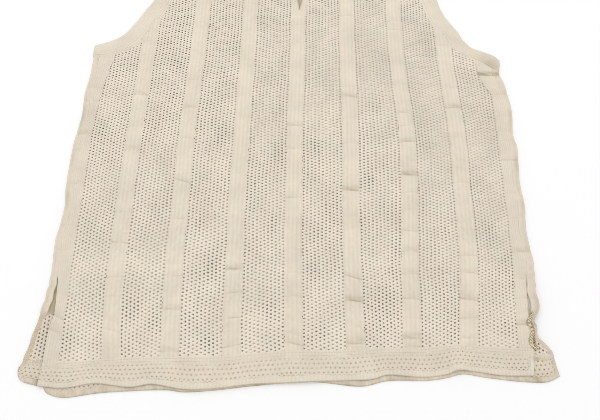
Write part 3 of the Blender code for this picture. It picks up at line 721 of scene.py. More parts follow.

# The creases of each band: height, depth, fall to the right, share of painted shade above the crease.
BAND_CREASES = (
    ((46, 0.7, 0.2, 0.1), (60, 1.0, 0.3, 0.2), (76, 0.3, 0.0, 0.0), (132, 0.4, 0.0, 0.0),
     (160, 0.5, 0.1, 0.0), (210, 0.5, -0.1, 0.2), (274, 0.9, 0.0, 0.5), (320, 0.6, 0.1, 0.3),
     (339, 0.4, 0.0, 0.1), (385, 0.6, 0.0, 0.1)),
    ((48, 0.8, 0.3, 0.1), (58, 0.5, 0.2, 0.0), (83, 0.5, 0.0, 0.0), (103, 1.0, -0.05, 0.1),
     (141, 1.4, 0.12, 0.1), (176, 0.5, 0.0, 0.1), (210, 0.3, 0.1, 0.0), (254, 0.5, 0.0, 0.3),
     (285, 0.3, 0.0, 0.2), (330, 1.0, 0.1, 0.6), (378, 0.4, 0.0, 0.0), (427, 0.7, -0.1, 0.1),
     (468, 0.4, 0.0, 0.0), (512, 0.8, 0.1, 0.2), (561, 0.5, -0.1, 0.0), (598, 0.9, 0.1, 0.1)),
    ((28, 0.9, 0.0, 0.6), (70, 1.1, 0.0, 0.3), (105, 0.4, 0.0, 0.1), (118, 0.4, 0.0, 0.1),
     (169, 0.7, 0.0, 0.1), (215, 1.9, 0.4, 0.3), (235, 0.3, 0.0, 0.0), (270, 0.7, 0.0, 0.1),
     (312, 0.8, -0.1, 0.5), (353, 0.5, 0.0, 0.1), (396, 0.5, 0.1, 0.0), (441, 0.4, 0.0, 0.0),
     (487, 1.0, 0.1, 0.2), (530, 0.6, 0.0, 0.1), (583, 1.1, -0.1, 0.2), (612, 0.5, 0.0, 0.0)),
    ((34, 1.2, -0.25, 0.1), (62, 1.2, -0.15, 0.1), (88, 1.2, -0.2, 0.1), (113, 1.5, -0.05, 0.8),
     (141, 0.6, 0.0, 0.0), (180, 0.3, 0.0, 0.0), (225, 0.6, 0.1, 0.0), (262, 0.6, 0.0, 0.0),
     (300, 0.3, 0.0, 0.1), (330, 0.5, 0.0, 0.1), (384, 0.5, 0.0, 0.1), (430, 0.4, 0.0, 0.1),
     (476, 0.6, 0.1, 0.1), (515, 1.0, -0.1, 0.2), (547, 0.5, 0.0, 0.0)),
    ((37, 1.5, 0.25, 0.3), (47, 0.5, 0.3, 0.1), (60, 0.5, 0.0, 0.0), (85, 0.7, 0.05, 0.1),
     (110, 0.5, 0.0, 0.0), (136, 0.6, 0.0, 0.0), (165, 0.3, 0.0, 0.0), (196, 0.8, 0.0, 0.35),
     (226, 0.4, 0.0, 0.0), (258, 0.8, 0.0, 0.35), (289, 1.0, 0.0, 0.6), (330, 0.4, 0.0, 0.1),
     (372, 0.4, 0.0, 0.0), (410, 0.3, 0.0, 0.1), (440, 0.3, 0.0, 0.0)),
    ((38, 1.4, -0.08, 0.8), (55, 0.6, 0.1, 0.1), (81, 1.7, 0.12, 0.9), (106, 1.8, 0.38, 0.3),
     (130, 0.3, 0.0, 0.0), (160, 0.4, 0.0, 0.1), (206, 2.0, 0.05, 1.0), (230, 0.4, 0.0, 0.0),
     (266, 0.5, 0.0, 0.1), (300, 0.4, 0.0, 0.0), (331, 1.0, 0.12, 0.5), (346, 0.5, 0.0, 0.1),
     (390, 0.5, 0.0, 0.0), (430, 0.4, 0.0, 0.1), (456, 1.3, 0.0, 0.1), (500, 0.7, 0.1, 0.1),
     (538, 0.9, -0.1, 0.1)),
    ((36, 0.9, 0.0, 0.3), (44, 1.0, 0.0, 0.7), (64, 0.5, 0.0, 0.1), (84, 1.2, 0.06, 0.3),
     (110, 0.7, 0.0, 0.4), (135, 0.7, 0.0, 0.5), (158, 1.0, 0.1, 0.2), (183, 0.3, 0.0, 0.0),
     (204, 0.8, -0.1, 0.1), (226, 1.8, 0.02, 1.0), (245, 0.5, 0.0, 0.0), (269, 1.3, -0.1, 0.6),
     (290, 0.5, 0.0, 0.1), (308, 0.7, 0.0, 0.35), (350, 0.3, 0.0, 0.1), (380, 0.4, 0.0, 0.1),
     (434, 1.0, 0.1, 0.1), (448, 0.4, 0.0, 0.0), (478, 0.5, 0.0, 0.1), (520, 1.0, 0.0, 0.2),
     (570, 0.6, 0.1, 0.1), (608, 1.0, -0.1, 0.1)),
    ((45, 0.8, 0.0, 0.2), (65, 0.9, -0.1, 0.1), (84, 1.7, 0.18, 0.7), (112, 0.8, 0.0, 0.5),
     (131, 1.0, -0.06, 0.3), (160, 0.4, 0.0, 0.0), (190, 0.3, 0.0, 0.0), (217, 0.8, 0.0, 0.1),
     (245, 0.5, 0.1, 0.1), (276, 0.6, 0.0, 0.2), (316, 1.1, 0.0, 0.7), (345, 0.5, 0.0, 0.1),
     (380, 0.5, 0.1, 0.1), (409, 0.5, 0.1, 0.1), (460, 0.4, 0.0, 0.0), (495, 0.9, 0.1, 0.2),
     (545, 0.6, 0.0, 0.1), (590, 1.0, 0.1, 0.1)),
    ((59, 1.3, 0.0, 0.7), (70, 0.4, 0.0, 0.1), (86, 0.7, 0.0, 0.2), (107, 0.5, 0.0, 0.3),
     (136, 0.8, 0.0, 0.5), (175, 0.5, 0.0, 0.1), (205, 0.4, 0.0, 0.0), (246, 1.1, 0.02, 0.15),
     (271, 0.6, 0.0, 0.1), (305, 0.4, 0.0, 0.1), (336, 0.6, 0.0, 0.3), (364, 2.4, 0.0, 2.4)),
)
PUCKER = 1.35
CREASE_GAIN = 1.15
DEEPEST_CREASE = 2.4
# Painted shade in each crease, and on the slope above it that faces away from the light:
CREASE_SHADE = 0.46
CREASE_SHADE_REACH = 0.9
FULL_CREASE = 1.5
FOLD_SHADE = 0.42
FOLD_SHADE_RISE = 2.5
FOLD_SHADE_REACH = 3.2
FOLD_ABOVE = 4.5
FOLD_BELOW = 1.3
FOLD_SHARPNESS = 1.15
DEEP_CREASE = 0.65
SEAM_FADE = 7.0
SLIT_FOOT = 450.0
BAND_HEADS = (383.0, 650.0, 650.0, 650.0, SLIT_FOOT, 650.0, 650.0, 650.0, 367.0)
BAND_COLUMNS = np.array((-1.0, -0.86, -0.77, -0.62, -0.4, -0.14, 0.14, 0.4, 0.62, 0.77, 0.86, 1.0))
BAND_LAP = 2.0
BAND_APART = 20.0
BAND_SINK = 0.1
EDGE_WANDER = 0.45
LAP_WAVE = (4.3, 5.0, 27.0)
ROUND_EDGE = 0.45
ROUND_WAVE = (5.7, 3.0, 31.0)
CROSS_PUCKER = 0.15
CROSS_WAVE = (2.9, 7.0, 37.0)
COVER_LIFT = 0.25

# The sides of the laid top and the front's own edge in the side vents: height, across.
LEFT_SIDE = (
    (11.5, -259), (20, -256.5), (40, -253), (60, -250), (90, -246.7),
    (110, -246.7), (140, -249), (160, -247.5), (185, -246.7), (210, -250),
    (260, -251), (300, -248.2), (330, -250), (360, -248.2), (388.4, -248.6),
)
RIGHT_SIDE = (
    (33, 256.2), (41, 249.5), (47, 243.6), (57.5, 245), (63.5, 242.6), (77, 250.2),
    (91, 249), (104, 250.3), (125, 252.3), (160, 250.2), (190, 253),
    (220, 252), (262, 255.6), (282, 253.2), (315, 256.3), (350, 253),
    (364, 249.4), (371.4, 248.4),
)
LEFT_VENT = ((15.0, -236.6), (46.0, -236.2), (65.0, -233.8), (90.0, -236.2))
RIGHT_VENT = ((34.0, 237.6), (48.0, 238.4), (66.0, 238.0), (81.0, 238.6), (100.0, 240.6))
VENT_SHADE = 0.7
VENT_SHADE_MIDDLE = 56.0
VENT_SHADE_REACH = 17.0
VENT_TURN = 0.7
VENT_FADE = 12.0
VENT_TOP_LEFT = 107.0
VENT_TOP_RIGHT = 115.0
SIDE_SEAM = 8.2
LEFT_LIFT = (1.6, 66.0, 46.0)
RIGHT_LIFT = (1.2, 74.0, 44.0)

# Near the underarms the outer bands widen over the net: height, how far.
LEFT_COVER = ((280.0, 0.0), (315.0, 2.0), (345.0, 5.0), (370.0, 9.0), (395.0, 13.0))
RIGHT_COVER = ((322.0, 0.0), (338.0, 2.0), (352.0, 9.0), (366.0, 13.5), (392.0, 16.0))

LEFT_SIDE_LINE = smooth(LEFT_SIDE, 6)
RIGHT_SIDE_LINE = smooth(RIGHT_SIDE, 6)
LEFT_FRONT_EDGE = smooth((*LEFT_VENT, *(
    (height, across + SIDE_SEAM) for height, across in LEFT_SIDE if height > VENT_TOP_LEFT)), 6)
RIGHT_FRONT_EDGE = smooth((*RIGHT_VENT, *(
    (height, across - SIDE_SEAM) for height, across in RIGHT_SIDE if height > VENT_TOP_RIGHT)), 6)

# The two outer bands: way out, free edge, cover, top of the vent, lift in the vent.
OUTER_BANDS = {
    0: (-1.0, LEFT_FRONT_EDGE, LEFT_COVER, VENT_TOP_LEFT, LEFT_LIFT),
    8: (1.0, RIGHT_FRONT_EDGE, RIGHT_COVER, VENT_TOP_RIGHT, RIGHT_LIFT),
}
INNER_BAND = (0.0, None, None, None, None)


def line_at(line, height):
    """Across of a line of heights and acrosses at a height."""
    return np.interp(height, line[:, 0], line[:, 1])


def vent_lift(height, lift, share):
    """How far the front's free edge stands up in a side vent: rise, middle and half length."""
    rise, middle, half_length = lift
    reach = np.clip(np.abs(height - middle) / half_length, 0.0, 1.0)
    return rise * (0.5 + 0.5 * np.cos(np.pi * reach)) * np.clip(share, 0.0, 1.0)


def crease_profile(creases):
    """Along a band, every fifth of a millimetre: place, pucker height and share of painted shade."""
    along = np.arange(0.0, 660.0, 0.2)
    swell = PUCKER * (0.85 + 0.1 * np.sin(along / 21.0) + 0.08 * np.sin(along / 9.0 + len(creases)))
    tan = np.zeros(len(along))
    for height, depth, _, tan_share in creases:
        away = along - height
        reach = np.where(away > 0.0, away / (FOLD_ABOVE * (0.6 + 0.4 * depth)), -away / FOLD_BELOW)
        swell -= min(CREASE_GAIN * depth, DEEPEST_CREASE) * np.exp(-reach ** FOLD_SHARPNESS)
        tan += FOLD_SHADE * tan_share * np.exp(-((away - FOLD_SHADE_RISE) / FOLD_SHADE_REACH) ** 2)
        tan += CREASE_SHADE * min(depth, FULL_CREASE) / FULL_CREASE * np.exp(-(away / CREASE_SHADE_REACH) ** 2)
    return along, swell, np.clip(tan, 0.0, 1.0)


def band_rows(creases):
    """The heights of a band's rows: even, and close together at the deep creases."""
    rows = set(np.arange(8.0, 648.0, 1.7).round(2))
    for height, depth, _, _ in creases:
        if depth > DEEP_CREASE:
            rows |= set((height + np.linspace(-2.0, 2.4, 9)).round(2))
    return np.array(sorted(rows))


def grid_faces(rows, columns):
    """Four-sided faces over a grid of points, facing up."""
    start = (np.arange(rows - 1)[:, None] * columns + np.arange(columns - 1)).ravel()
    return np.stack((start, start + 1, start + columns + 1, start + columns), axis=1)


def grid_part(places, flat, faces, shade):
    """A part from grids: across, height and level; then across and along on the flat cloth."""
    points = np.stack(np.broadcast_arrays(*places), axis=2).reshape(-1, 3)
    flat = np.stack(np.broadcast_arrays(*flat), axis=2).reshape(-1, 2)
    return points, faces, flat, np.clip(shade, 0.0, 1.0).ravel()


def front_band(k):
    """One plain band of the front, puckered between its creases."""
    creases = BAND_CREASES[k]
    rows = band_rows(creases)
    along, swell, tan = crease_profile(creases)
    share, row = np.meshgrid(BAND_COLUMNS, rows)
    fall = np.interp(row, [crease[0] for crease in creases], [crease[2] for crease in creases])
    height = row - fall * share * BAND_HALVES[k]
    middle = band_middle(k, height)
    lap = BAND_LAP + EDGE_WANDER * uneven_wave(LAP_WAVE, height, k, 2.0 * share)
    left = middle - BAND_HALVES[k] - lap
    right = middle + BAND_HALVES[k] + lap
    cover = np.zeros_like(height)
    way, edge, cover_steps, vent_top, lift = OUTER_BANDS.get(k, INNER_BAND)
    if way != 0.0:
        cover = line_at(np.array(cover_steps), height)
        free_edge = line_at(edge, height)
        left, right = (free_edge, right + cover) if way < 0.0 else (left - cover, free_edge)
    across = left + (share + 1.0) / 2.0 * (right - left)
    half = BAND_HALVES[k] + EDGE_WANDER * uneven_wave(ROUND_WAVE, height, 2.0 * k, share)
    round_over = soft_step((1.0 - np.abs((across - middle) / half)) / ROUND_EDGE)
    crossing = uneven_wave(CROSS_WAVE, height, k, 0.35 * across) * (1.0 - share ** 2)
    # Painted shade in the creases and on the slopes above them.
    shade = np.interp(row, along, tan) * (0.75 + 0.25 * np.cos(3.0 * share + row))
    loose = soft_step((height - hem_seam(across) + 1.0) / SEAM_FADE)
    loose *= 1.0 - soft_step((height - BAND_HEADS[k]) / SEAM_FADE)
    level = FRONT_TOP - BAND_SINK + front_rise(across, height)
    level = level + COVER_LIFT * soft_step(cover / 2.0) * loose
    level += loose * round_over * (np.interp(row, along, swell) + CROSS_PUCKER * crossing)
    if way != 0.0:
        free = soft_step((vent_top - height) / VENT_FADE)
        level -= np.where(way * share > 0.95, VENT_TURN * free, 0.0) - vent_lift(height, lift, way * share)
    # Painted shadow on the right band's edge beside the vent's rope.
    if way > 0.0:
        near = np.exp(-((height - VENT_SHADE_MIDDLE) / VENT_SHADE_REACH) ** 2)
        shade = shade + VENT_SHADE * soft_step(6.0 * share - 4.4) * near
    flat = (share * BAND_HALVES[k] + BAND_APART * k, row)
    faces = grid_faces(len(rows), len(BAND_COLUMNS))
    return cut_out(grid_part((across, height, level), flat, faces, shade), front_inside)


add_cloth("front_bands", join_parts([front_band(k) for k in range(9)]), BAND_KNIT,
          "front_panel")


# ---------------------------------------------------------------------------
# The back.
# The same knit as the front lies underneath, and its yarn shows through the front's holes.
# Its side edges turn forward to the side seams, and lie open in a vent at the foot of each side.
# ---------------------------------------------------------------------------
EYE = (12.46, -82.84, 568.6)
BACK_LEVEL = 1.45
BACK_SHIFT = (1.75, 1.9)
BACK_HOLE = 1.4
BACK_DROP_IN = 0.7
BACK_SHADE = 0.3
BACK_HEM_SHADE = 0.1
BACK_HEAD_SHADE = 0.3
BACK_OVER_SHADE = 0.6
BACK_PUCKER = 0.12
BACK_WAVE = (5.1, 4.0, 43.0)
CURL_FOOT = 30.0
CURL_RISE = 3.0
CURL_REACH = 13.0
EDGE_COLUMNS = 8
EDGE_WIDTH = 5.2
SHOWN_THROUGH = 300.0
SHOWN_FADE = 200.0
SLIT_SHADE = 0.6

BACK_HEM = (
    (-259.5, 8, -259, 11.5), (-258, 2.5, -254.5, 16), (-253, -2, -248, 18.5),
    (-241, -5, -239, 18.5), (-233, -6.5, -233, 17.5), (-227, -12.5, -227, 16),
    (-210, -16, -210, 14), (-175, -11, -175, 17), (-120, -7.7, -120, 20),
    (-98, -9.5, -98, 19), (-70, -7.5, -70, 21), (-35, -3.2, -35, 23.5),
    (-12, -0.9, -12, 25), (0, 0.3, 0, 26), (20, 1.4, 20, 27),
    (37, 0.6, 37, 27.5), (70, -2, 70, 27), (96, 3.5, 96, 31),
    (130, 4, 130, 31), (150, 6.5, 150, 33.5), (168, 10.5, 168, 36),
    (190, 7.5, 190, 34), (220, 4.5, 220, 31), (245, 4, 244, 30),
    (259.4, 9.5, 256.2, 32.7),
)

# Across a plain band of the back: share of its half width, level.
BACK_BAND_SECTION = (
    (-1, 0.6), (-0.9, 0.85), (-0.45, 0.98), (0, 1.05), (0.45, 0.98), (0.9, 0.85), (1, 0.6))

BACK_HEM_LINE = smooth(BACK_HEM, 6)


def back_place(across, height):
    """Where the back's knit lies: in line with the front's for the eye, but for a shift.

    The shift sets its yarn under the front's holes, and fades where holes lie over holes.
    """
    line_up = (FRONT_TOP - BACK_LEVEL) / (EYE[2] - FRONT_TOP)
    shift = 1.0 - holes_over(across, height)
    shift *= 0.8 + 0.25 * np.sin(across / 15.0 - height / 41.0)
    return (across + (across - EYE[0]) * line_up + BACK_SHIFT[0] * shift,
            height + (height - EYE[1]) * line_up + BACK_SHIFT[1] * shift)


def curl_rise(across, height):
    """How far the back's right edge curls up in the vent."""
    share = np.clip((height - CURL_FOOT) / (VENT_TOP_RIGHT - CURL_FOOT), 0.0, 1.0)
    inward = np.clip((line_at(RIGHT_SIDE_LINE, height) - across) / CURL_REACH, 0.0, 1.0)
    return CURL_RISE * np.sqrt(np.maximum(np.sin(np.pi * share), 0.0)) * (1.0 - soft_step(inward))


def back_inside(across, height, spare):
    """Whether a point is on the back panel, or on the spare cloth under its bands and edges."""
    seam = np.interp(across, BACK_HEM_LINE[:, 2], BACK_HEM_LINE[:, 3])
    inside = body_inside(across, height, spare) & (height > seam - spare)
    inside &= height < neck_height(across, BACK_DROP, NECK_BAND) + spare
    edge = EDGE_WIDTH - spare / 2.0
    inside &= across > line_at(LEFT_SIDE_LINE, height) + edge
    return inside & (across < line_at(RIGHT_SIDE_LINE, height) - edge)


BACK_NET = net_arrays(HOLE_COLUMNS, NET_ROWS, 1, BACK_HOLE, BACK_HOLE, 0.0, BACK_DROP_IN)
BACK_EDGE_NET = net_arrays(
    HOLE_COLUMNS + EDGE_COLUMNS, NET_ROWS, 2, BACK_HOLE, BACK_HOLE, 0.0, BACK_DROP_IN)
# The back's darker colour is a near black-brown: painted shadow round its holes and under the front.
BACK_KNIT = cotton("back_eyelet_knit", (0.78, 0.70, 0.58, 1.0), (0.17, 0.14, 0.105, 1.0))


def back_stripe(k):
    """One eyelet stripe of the back; the outer two run on to the side edges."""
    flat, faces, inward = BACK_EDGE_NET if k in (0, 7) else BACK_NET
    first = -EDGE_COLUMNS if k == 0 else 0
    across, height = course_place(k, flat[:, 0] / HOLE_ACROSS + first, flat[:, 1] + NET_FOOT)
    over = holes_over(across, height)
    across, height = back_place(across, height)
    level = BACK_LEVEL + flat[:, 2] + 0.08 * np.sin(across / 12.0 + height / 27.0)
    points = np.stack((across, height, level + curl_rise(across, height)), axis=1)
    # Painted shade round the back's holes, where little light reaches: more up to the shoulders, where
    # holes lie over holes, and in the vents; higher up, the whole back is painted darker where the front
    # covers it.
    in_vent = (across < line_at(LEFT_FRONT_EDGE, height)) | (across > line_at(RIGHT_FRONT_EDGE, height))
    shade = BACK_HEM_SHADE + BACK_HEAD_SHADE * height / SHOULDER_HIGH + BACK_OVER_SHADE * over + in_vent
    shade = inward ** 3 * np.clip(shade, 0.0, 1.0)
    covered = height < neck_height(across, FRONT_DROP, 0.0)
    covered = covered * soft_step((height - SHOWN_THROUGH) / SHOWN_FADE)
    shade = np.clip(shade + BACK_SHADE * covered, 0.0, 1.0)
    flat = flat[:, :2] + (20 * k * HOLE_ACROSS, 0.0)
    return cut_out((points, faces, flat, shade), back_inside)


add_cloth("back_net", join_parts([back_stripe(k) for k in range(8)]), BACK_KNIT,
          "back_panel")


def back_band(k):
    """One plain band of the back: pressed flat, and only a little puckered."""
    rows = np.arange(8.0, 650.0, 3.2)
    shares, level = np.array(BACK_BAND_SECTION).T
    share, row = np.meshgrid(shares, rows)
    half = BAND_HALVES[k] + BAND_LAP
    across, height = back_place(band_middle(k, row) + share * half, row)
    level = level + BACK_PUCKER * uneven_wave(BACK_WAVE, height, k) * (1.0 - share ** 2)
    # Painted shade on the middle band where the slit's gap shows it.
    behind_slit = SLIT_SHADE * (k == 4) * (height > SLIT_FOOT)
    faces = grid_faces(len(rows), len(shares))
    flat = (share * half + BAND_APART * k, row)
    return cut_out(grid_part((across, height, level), flat, faces, behind_slit), back_inside)


add_cloth("back_bands", join_parts([back_band(k) for k in range(1, 8)]), BAND_KNIT,
          "back_panel")

# The side edges from the underside round to the seam: inward from the outline, level.
TURNED_EDGE = (
    (10, 0.08), (4, 0.08), (0.9, 0.22), (0.1, 0.8), (0, 1.45), (0.1, 2.05), (0.9, 2.75), (2.4, 3.05),
    (3.6, 3.04), (4.2, 3.06), (6.4, 2.9), (7.8, 2.68), (8.4, 2.4), (8.5, 2.1), (9.6, 2), (17, 1.8),
)
OPEN_EDGE = (
    (10, 0.08), (3, 0.08), (0.8, 0.1), (0.2, 0.25), (0, 0.6), (0.2, 0.95), (0.6, 1.3), (1.2, 1.6),
    (2, 1.65), (2.8, 1.6), (3.8, 1.55), (4.8, 1.5), (5.4, 1.3), (5.7, 1), (6, 0.9), (6.3, 0.8),
)
EDGE_STEP = 1.5
LEFT_TURN_FOOT = 58.0
RIGHT_TURN_FOOT = 66.0
TURN_FADE = 9.0
EDGE_TUCK = 3.0
OUTLINE_PULL = 0.8
OUTLINE_RIPPLE = 0.45
OUTLINE_WAVE = (2.7, 2.5, 17.0)
STREAK_WAVE = (12.0, 2.0, 37.0)
EDGE_DARKENING = 0.3

# The sides: name, outline, creases, foot of the turned part, head, way out, painted shade on the seam's
# flap.
SIDES = (
    ("left", LEFT_SIDE_LINE, BAND_CREASES[0], LEFT_TURN_FOOT, 391.0, -1.0, 1.0),
    ("right", RIGHT_SIDE_LINE, BAND_CREASES[8], RIGHT_TURN_FOOT, 375.0, 1.0, 0.15),
)


def side_edge(line, creases, turn_foot, head, outward, flap_shade):
    """One side edge of the back: open in the vent, and turned forward above it."""
    foot = line[0, 0] - EDGE_TUCK
    rows = np.concatenate((np.arange(foot, 130.0, 1.5), np.arange(130.0, head, 2.0), [head]))
    turned = soft_step((rows - turn_foot) / TURN_FADE)[:, None, None]
    section = np.array(OPEN_EDGE) + turned * (np.array(TURNED_EDGE) - np.array(OPEN_EDGE))
    turned = turned[..., 0]
    inward, level = section[..., 0], section[..., 1].copy()
    along, swell, tan = crease_profile(creases)
    dip = (PUCKER - np.interp(rows, along, swell))[:, None] * turned
    wave = OUTLINE_RIPPLE * uneven_wave(OUTLINE_WAVE, rows) * (1.0 - soft_step((rows - 80.0) / 60.0))
    inset = inward + wave[:, None] + OUTLINE_PULL * np.clip(dip, 0.0, 1.0)
    across = line_at(line, rows)[:, None] - outward * inset
    height = np.broadcast_to(rows[:, None], across.shape)
    puff = np.interp(rows, along, swell) * (1.0 - soft_step((rows - head + 20.0) / SEAM_FADE))
    level += puff[:, None] * turned * soft_step((inward - 0.8) / 5.0) * (inward < 8.45) * (level > 2.3)
    level *= 0.6 + 0.4 * soft_step((rows - line[0, 0] + EDGE_TUCK) / (2.0 * EDGE_TUCK))[:, None]
    faces = grid_faces(len(rows), len(OPEN_EDGE))
    if outward > 0.0:
        level += curl_rise(across, height)
        faces = faces[:, ::-1]
    # The edge is darker where it lies open in the vent, and in streaks along its rounded fold; the
    # creases' painted shade is added, and the seam's flap carries painted shade, deepest in the left vent.
    edge_tone = (1.0 - turned) * EDGE_DARKENING + 0.8 * np.interp(rows, along, tan)[:, None] + 0.05
    edge_streaks = EDGE_DARKENING * np.clip(uneven_wave(STREAK_WAVE, rows), 0.0, 1.0)[:, None]
    edge_tone = edge_tone + edge_streaks * turned * np.exp(-((inward - 2.5) / 2.0) ** 2)
    shade = np.where(inward > 8.4, turned * flap_shade, edge_tone)
    flat = (np.arange(len(OPEN_EDGE)) * EDGE_STEP, height)
    return grid_part((across, height, level), flat, faces, shade)


for side, *shape in SIDES:
    add_cloth(f"back_side_{side}", side_edge(*shape), BAND_KNIT, "back_panel")


# ---------------------------------------------------------------------------
# The hem bands of the front and the back.
# Each is a doubled strip of the same knit, with four rows of small eyelets along its middle.
# A double row of stitches holds it under the panel's edge.
# ---------------------------------------------------------------------------
HEM_HOLE_ROWS = 4
HEM_HOLE_PITCH = 4.43
HEM_ROW_PITCH = 4.3
HEM_FIRST_ROW = 8.2
HEM_DEPTH = 27.5
HEM_CORNER = 238.5
CORNER_SHADE = 1.1
CORNER_REACH = 4.5
EDGE_SHADE_MIDDLE = -40.0
EDGE_SHADE_REACH = 110.0
HEM_WAVE = (2.3, 4.0, 19.0)
HEM_MOTTLE = 0.8
MOTTLE_WAVE = (2.9, 3.0, 11.0)
HEM_HOLE = 1.35
HEM_CREST = 0.06
HEM_DROP = 0.3
HEM_TOP = 1.37

# Round a hem band from its lower edge: share of the way to the seam, height over its underside.
HEM_SECTION = (
    (0, 0.35), (0.01, 0.85), (0.05, 1.2), (0.14, 1.32), (0.23, 1.3), (0.25, 0.7), (0.755, 0.7),
    (0.775, 1.3), (0.83, 1.33), (0.88, 1.3), (0.91, 1.33), (0.96, 1.32), (1, 1.25), (1.04, 1.2),
    (1.07, 0.9), (1.05, 0.2), (0.5, 0), (0.03, 0.05),
)

# The hems: name, stations, floor, lift by the front's folds, what is below, painted shade along the lower
# edge, and tan of the strip.
HEMS = (
    ("front", FRONT_HEM, WALL + LAYER_GAP, 1.0, "back_hem", 0.75, 0.0),
    ("back", BACK_HEM, LOWEST, 0.0, "table", 0.9, 0.28),
)


def ring_faces(rings, width, closed=False):
    """Four-sided faces along rings of points, and from the last ring to the first when closed."""
    start = np.arange(rings if closed else rings - 1)
    here, after = np.arange(width), (np.arange(width) + 1) % width
    ahead = (start + 1) % rings
    corners = (start[:, None] * width + here, start[:, None] * width + after,
               ahead[:, None] * width + after, ahead[:, None] * width + here)
    return np.stack(corners, axis=2).reshape(-1, 4)


def hem_lines(stations):
    """The edge and the seam of a hem band, and how far along each station is."""
    line = smooth(stations, 14)
    middle = (line[:, 0:2] + line[:, 2:4]) / 2.0
    along = np.concatenate(([0.0], np.cumsum(np.linalg.norm(np.diff(middle, axis=0), axis=1))))
    return line[:, 0:2], line[:, 2:4], along


def hem_place(lines, along, share, lift):
    """Across, height and rise of points of a hem band."""
    edge, seam, stations = lines
    place = []
    for axis in (0, 1):
        low = np.interp(along, stations, edge[:, axis])
        high = np.interp(along, stations, seam[:, axis])
        place.append(low + share * (high - low))
    return place[0], place[1], lift * front_rise(place[0], place[1])


def hem_strip(stations, floor, lift, edge_shade, tan):
    """The doubled strip of a hem band, with a sunk middle for its eyelets."""
    lines = hem_lines(stations)
    shares, level = np.array(HEM_SECTION).T
    share, along = np.meshgrid(shares, lines[2])
    across, height, rise = hem_place(lines, along, share, lift)
    wave = 0.1 * np.sin(along / 7.0 + 5.0 * share) + 0.06 * uneven_wave(HEM_WAVE, along)
    level = floor + level + rise + wave * (share > 0.02) * (share < 0.9)
    # Painted shadow along the lower folded edge, most near the middle; painted shade on the back hem by
    # the front hem's ends; the strip's own darker tan, mottled.
    near_middle = np.exp(-((across - EDGE_SHADE_MIDDLE) / EDGE_SHADE_REACH) ** 2)
    shade = np.where(share < 0.05, edge_shade * (0.6 + 0.4 * near_middle), tan)
    near_corner = np.exp(-((np.abs(across) - HEM_CORNER) / CORNER_REACH) ** 2)
    shade = shade + CORNER_SHADE * tan * near_corner
    mottle = uneven_wave(MOTTLE_WAVE, along)
    shade = shade + HEM_MOTTLE * tan * mottle * np.sin(14.0 * share + along / 7.0)
    faces = ring_faces(len(lines[2]), len(shares))[:, ::-1]
    level = np.maximum(level, LOWEST)
    return grid_part((across, height, level), (along, share * HEM_DEPTH), faces, shade)


def hem_net(stations, floor, lift, tan):
    """The four rows of eyelets along the middle of a hem band."""
    lines = hem_lines(stations)
    holes = int(lines[2][-1] / HEM_HOLE_PITCH - 0.6)
    up, faces, inward = net_arrays(HEM_HOLE_ROWS, holes, 2, HEM_HOLE, HEM_HOLE, HEM_CREST, HEM_DROP)
    along = (up[:, 1] / HOLE_ALONG + 0.3) * HEM_HOLE_PITCH
    from_edge = HEM_FIRST_ROW + (up[:, 0] / HOLE_ACROSS - 0.5) * HEM_ROW_PITCH
    from_edge += 0.35 * np.sin(along / 17.0) + 0.25 * np.sin(along / 6.1)
    across, height, rise = hem_place(lines, along, from_edge / HEM_DEPTH, lift)
    level = floor + HEM_TOP + rise + 0.8 * up[:, 2]
    points = np.stack((across, height, level), axis=1)
    # Painted shade round the eyelets' rims, and the strip's darker tan.
    shade = 0.2 * inward ** 2 + 0.55 * tan
    return points, faces[:, ::-1], np.stack((along, from_edge), axis=1), shade


HEM_KNIT = cotton("hem_knit", (0.76, 0.682, 0.565, 1.0), wale=0.0011)
for side, stations, floor, lift, below, edge_shade, tan in HEMS:
    add_cloth(f"{side}_hem", hem_strip(stations, floor, lift, edge_shade, tan), BAND_KNIT,
              f"{side}_hem_band")
    add_cloth(f"{side}_hem_eyelets", hem_net(stations, floor, lift, tan), HEM_KNIT,
              f"{side}_hem_band")


# ---------------------------------------------------------------------------
# The armhole bands.
# Each is a folded strip of plain knit, sewn round the armhole's edge on the front and the back.
# It turns over at the shoulder and at the underarm, where the laid top is folded.
# ---------------------------------------------------------------------------
FOLD_TURNS = (25.0, 50.0, 70.0, 90.0, 110.0, 130.0, 155.0)

# Round a band from its free edge: share of the way to the seam, distance from the laid top's
# middle plane, and how much further the front stands up.
BAND_SECTION = (
    (0, 0.55, 0), (0, 0.95, 0.15), (0.04, 1.15, 0.3), (0.15, 1.25, 0.4), (0.35, 1.28, 0.55),
    (0.6, 1.28, 0.55), (0.8, 1.2, 0.4), (0.9, 1.1, 0.2), (0.94, 1.2, 0.4), (1.03, 1.22, 0.45),
    (1.1, 1.1, 0.35), (1.14, 0.8, 0.15), (1.12, 0.3, 0), (0.5, 0.2, 0), (0.02, 0.25, 0),
)

# A patch of painted shade at the right underarm, by its fold: across, height, reach and share.
UNDERARM_SHADE = (237.0, 376.0, 13.0, 0.6)
ARMHOLES = (("left", LEFT_ARMHOLE, -1.0), ("right", RIGHT_ARMHOLE, 1.0))
TURN_LENGTH = 1.3
FOLD_HEIGHT = WALL + LAYER_GAP / 2


def flat_stations(rows, turn):
    """Stations of a strip that lies in one layer."""
    return [(row[0:2], row[2:4], (0.0, 0.0), turn) for row in rows]


def fold_stations(row, way, turns):
    """Stations round a fold, from one layer to the other."""
    return [(row[0:2], row[2:4], way, turn) for turn in turns]


